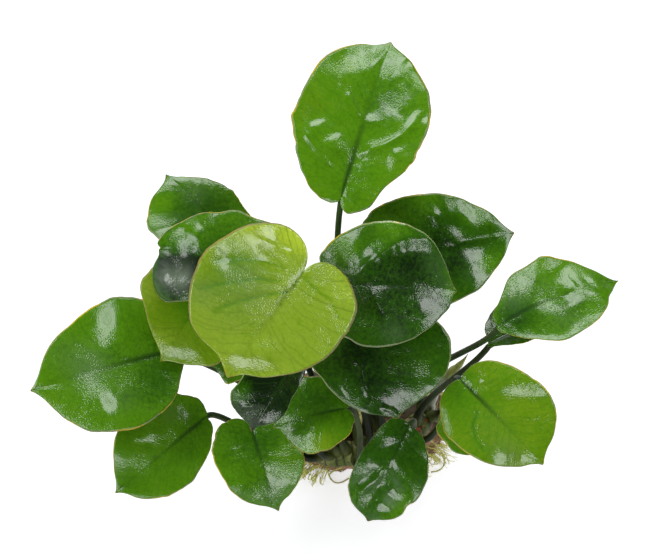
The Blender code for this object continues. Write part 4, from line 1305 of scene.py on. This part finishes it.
for tuft in TUFTS:
    tubes = []
    for _ in range(tuft.threads):
        wide = chance.uniform(-1, 1)
        high = chance.uniform(-1, 1) * math.sqrt(1 - wide * wide)
        deep = math.sqrt(max(0, 1 - wide * wide - high * high))
        direction = compass(tuft.azimuth + wide * tuft.half_width, tuft.elevation + high * tuft.half_height)
        reach = (MOSS_DEPTH + tuft.thickness * deep**0.7) * chance.uniform(0.6, 1.05)
        side = Vector([chance.uniform(-1, 1) for _ in range(3)]) * reach * 0.5
        path = []
        for step in range(THREAD_STEPS + 1):
            part = step / THREAD_STEPS
            spot = on_stone(direction, -0.4 * MM + reach * part) + side * part * part
            spot.z = max(spot.z - 1.5 * MM * part * part, 0.3 * MM)
            path.append(spot)
        radius = chance.uniform(0.12, 0.23) * MM
        radii = [radius * (1 - 0.5 * step / THREAD_STEPS) for step in range(THREAD_STEPS + 1)]
        tubes.append(rough_tube(path, radii, THREAD_SIDES))
    for _ in range(TRAILING_THREADS):
        aside = chance.uniform(-1, 1) * tuft.half_width
        rise = chance.uniform(-0.6, 0.8) * tuft.half_height
        direction = compass(tuft.azimuth + aside, tuft.elevation + rise)
        spot = on_stone(direction, MOSS_DEPTH + tuft.thickness * 0.4)
        heading = (direction + Vector([chance.uniform(-0.7, 0.7) for _ in range(3)])).normalized()
        path = []
        for step in range(chance.randint(9, 20)):
            path.append(spot)
            sway = Vector([chance.uniform(-0.45, 0.45) for _ in range(3)])
            heading = (heading + sway - UP * 0.3).normalized()
            spot = spot + heading * 0.55 * MM
            spot.z = max(spot.z, 0.3 * MM)
        radius = chance.uniform(0.15, 0.26) * MM
        tubes.append(rough_tube(path, tapered(radius, len(path), 0.4), THREAD_SIDES))
    verts, faces = join_tubes(tubes)
    mesh_piece(tuft.name + "_threads", verts, faces, [moss_skin], tuft.name, slot="moss")

# The floor and the light
# A white table. Four windows round the plant light it, and the wet leaves mirror them. A low strip of
# light under each, which the leaves mirror too, and a soft light overhead, which they don't, lighten the
# shadows.
HALF_TABLE = 1.25
corners = [(x * HALF_TABLE, y * HALF_TABLE, 0) for x, y in ((-1, -1), (1, -1), (1, 1), (-1, 1))]
floor_mesh = bpy.data.meshes.new("table")
floor_mesh.from_pydata(corners, [], [(0, 1, 2, 3)])
table = bpy.data.objects.new("table", floor_mesh)
bpy.context.scene.collection.objects.link(table)
table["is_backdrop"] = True

# White paper, pressed: dull, and in the camera's eye a little brighter the further away it lies, as an
# overexposed table is.
paper, tree, surface = start_material("white_paper")
seen = node(tree, "ShaderNodeLightPath").outputs["Is Camera Ray"]
place = node(tree, "ShaderNodeTexCoord").outputs["Object"]
away = node(tree, "ShaderNodeVectorMath", {0: place}, operation="LENGTH").outputs["Value"]
inputs = {
    "Base Color": linear("#d8d8de"),
    "Roughness": 0.9,
    "Specular IOR Level": 0.0,
    "Emission Color": (1, 1, 1, 1),
    "Emission Strength": shown(tree, (seen, 0, 1), (away, 0.3, 0.8, 0.62, 1.0)),
}
feed(tree, surface, inputs)
floor_mesh.materials.append(paper)


def area_light(name, azimuth, elevation, distance, size, radiance, mirrored=True):
    """A soft light that looks at the plant from a direction, as bright as a white sheet times radiance."""
    data = bpy.data.lights.new(name, "AREA")
    data.shape = "RECTANGLE"
    data.size, data.size_y = size
    data.energy = radiance * math.pi * size[0] * size[1]
    lamp = bpy.data.objects.new(name, data)
    away = compass(azimuth, elevation)
    lamp.location = EYE_AIM + away * distance
    lamp.rotation_euler = away.to_track_quat("Z", "Y").to_euler()
    lamp.visible_glossy = mirrored
    bpy.context.scene.collection.objects.link(lamp)


def window(name, azimuth, elevation, size, radiance, panes):
    """A tall-barred window: panes of light side by side, with dark bars between them."""
    pane = size[0] / panes
    for number in range(panes):
        turn = math.degrees((number - (panes - 1) / 2) * pane) / math.cos(math.radians(elevation))
        pane_size = (pane * 0.9, size[1])
        area_light(f"{name}_{number}", azimuth + turn, elevation, WINDOW_DISTANCE, pane_size, radiance)


for name, facts in WINDOWS.items():
    window(name, *facts)
for azimuth in (5, 95, 185, 275):
    area_light(f"cove_{azimuth}", azimuth, 7, distance=1.3, size=(1.5, 0.28), radiance=0.7)
area_light("ceiling", -90, 80, distance=1.4, size=(1.2, 1.2), radiance=0.4, mirrored=False)

world = bpy.data.worlds.new("studio")
world.use_nodes = True
bpy.context.scene.world = world
tree = world.node_tree
sky = tree.nodes["Background"]
sky.inputs["Color"].default_value = (1, 1, 1, 1)
seen = node(tree, "ShaderNodeLightPath").outputs["Is Camera Ray"]
strength = node(tree, "ShaderNodeMapRange", {"Value": seen, "To Min": 0.02, "To Max": 1.0})
tree.links.new(strength.outputs[0], sky.inputs["Strength"])
bpy.context.scene.view_settings.view_transform = "Standard"

boxes = {"cad": cad_box, "visual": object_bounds()}
boxes = {name: [[float(part) for part in corner] for corner in box] for name, box in boxes.items()}
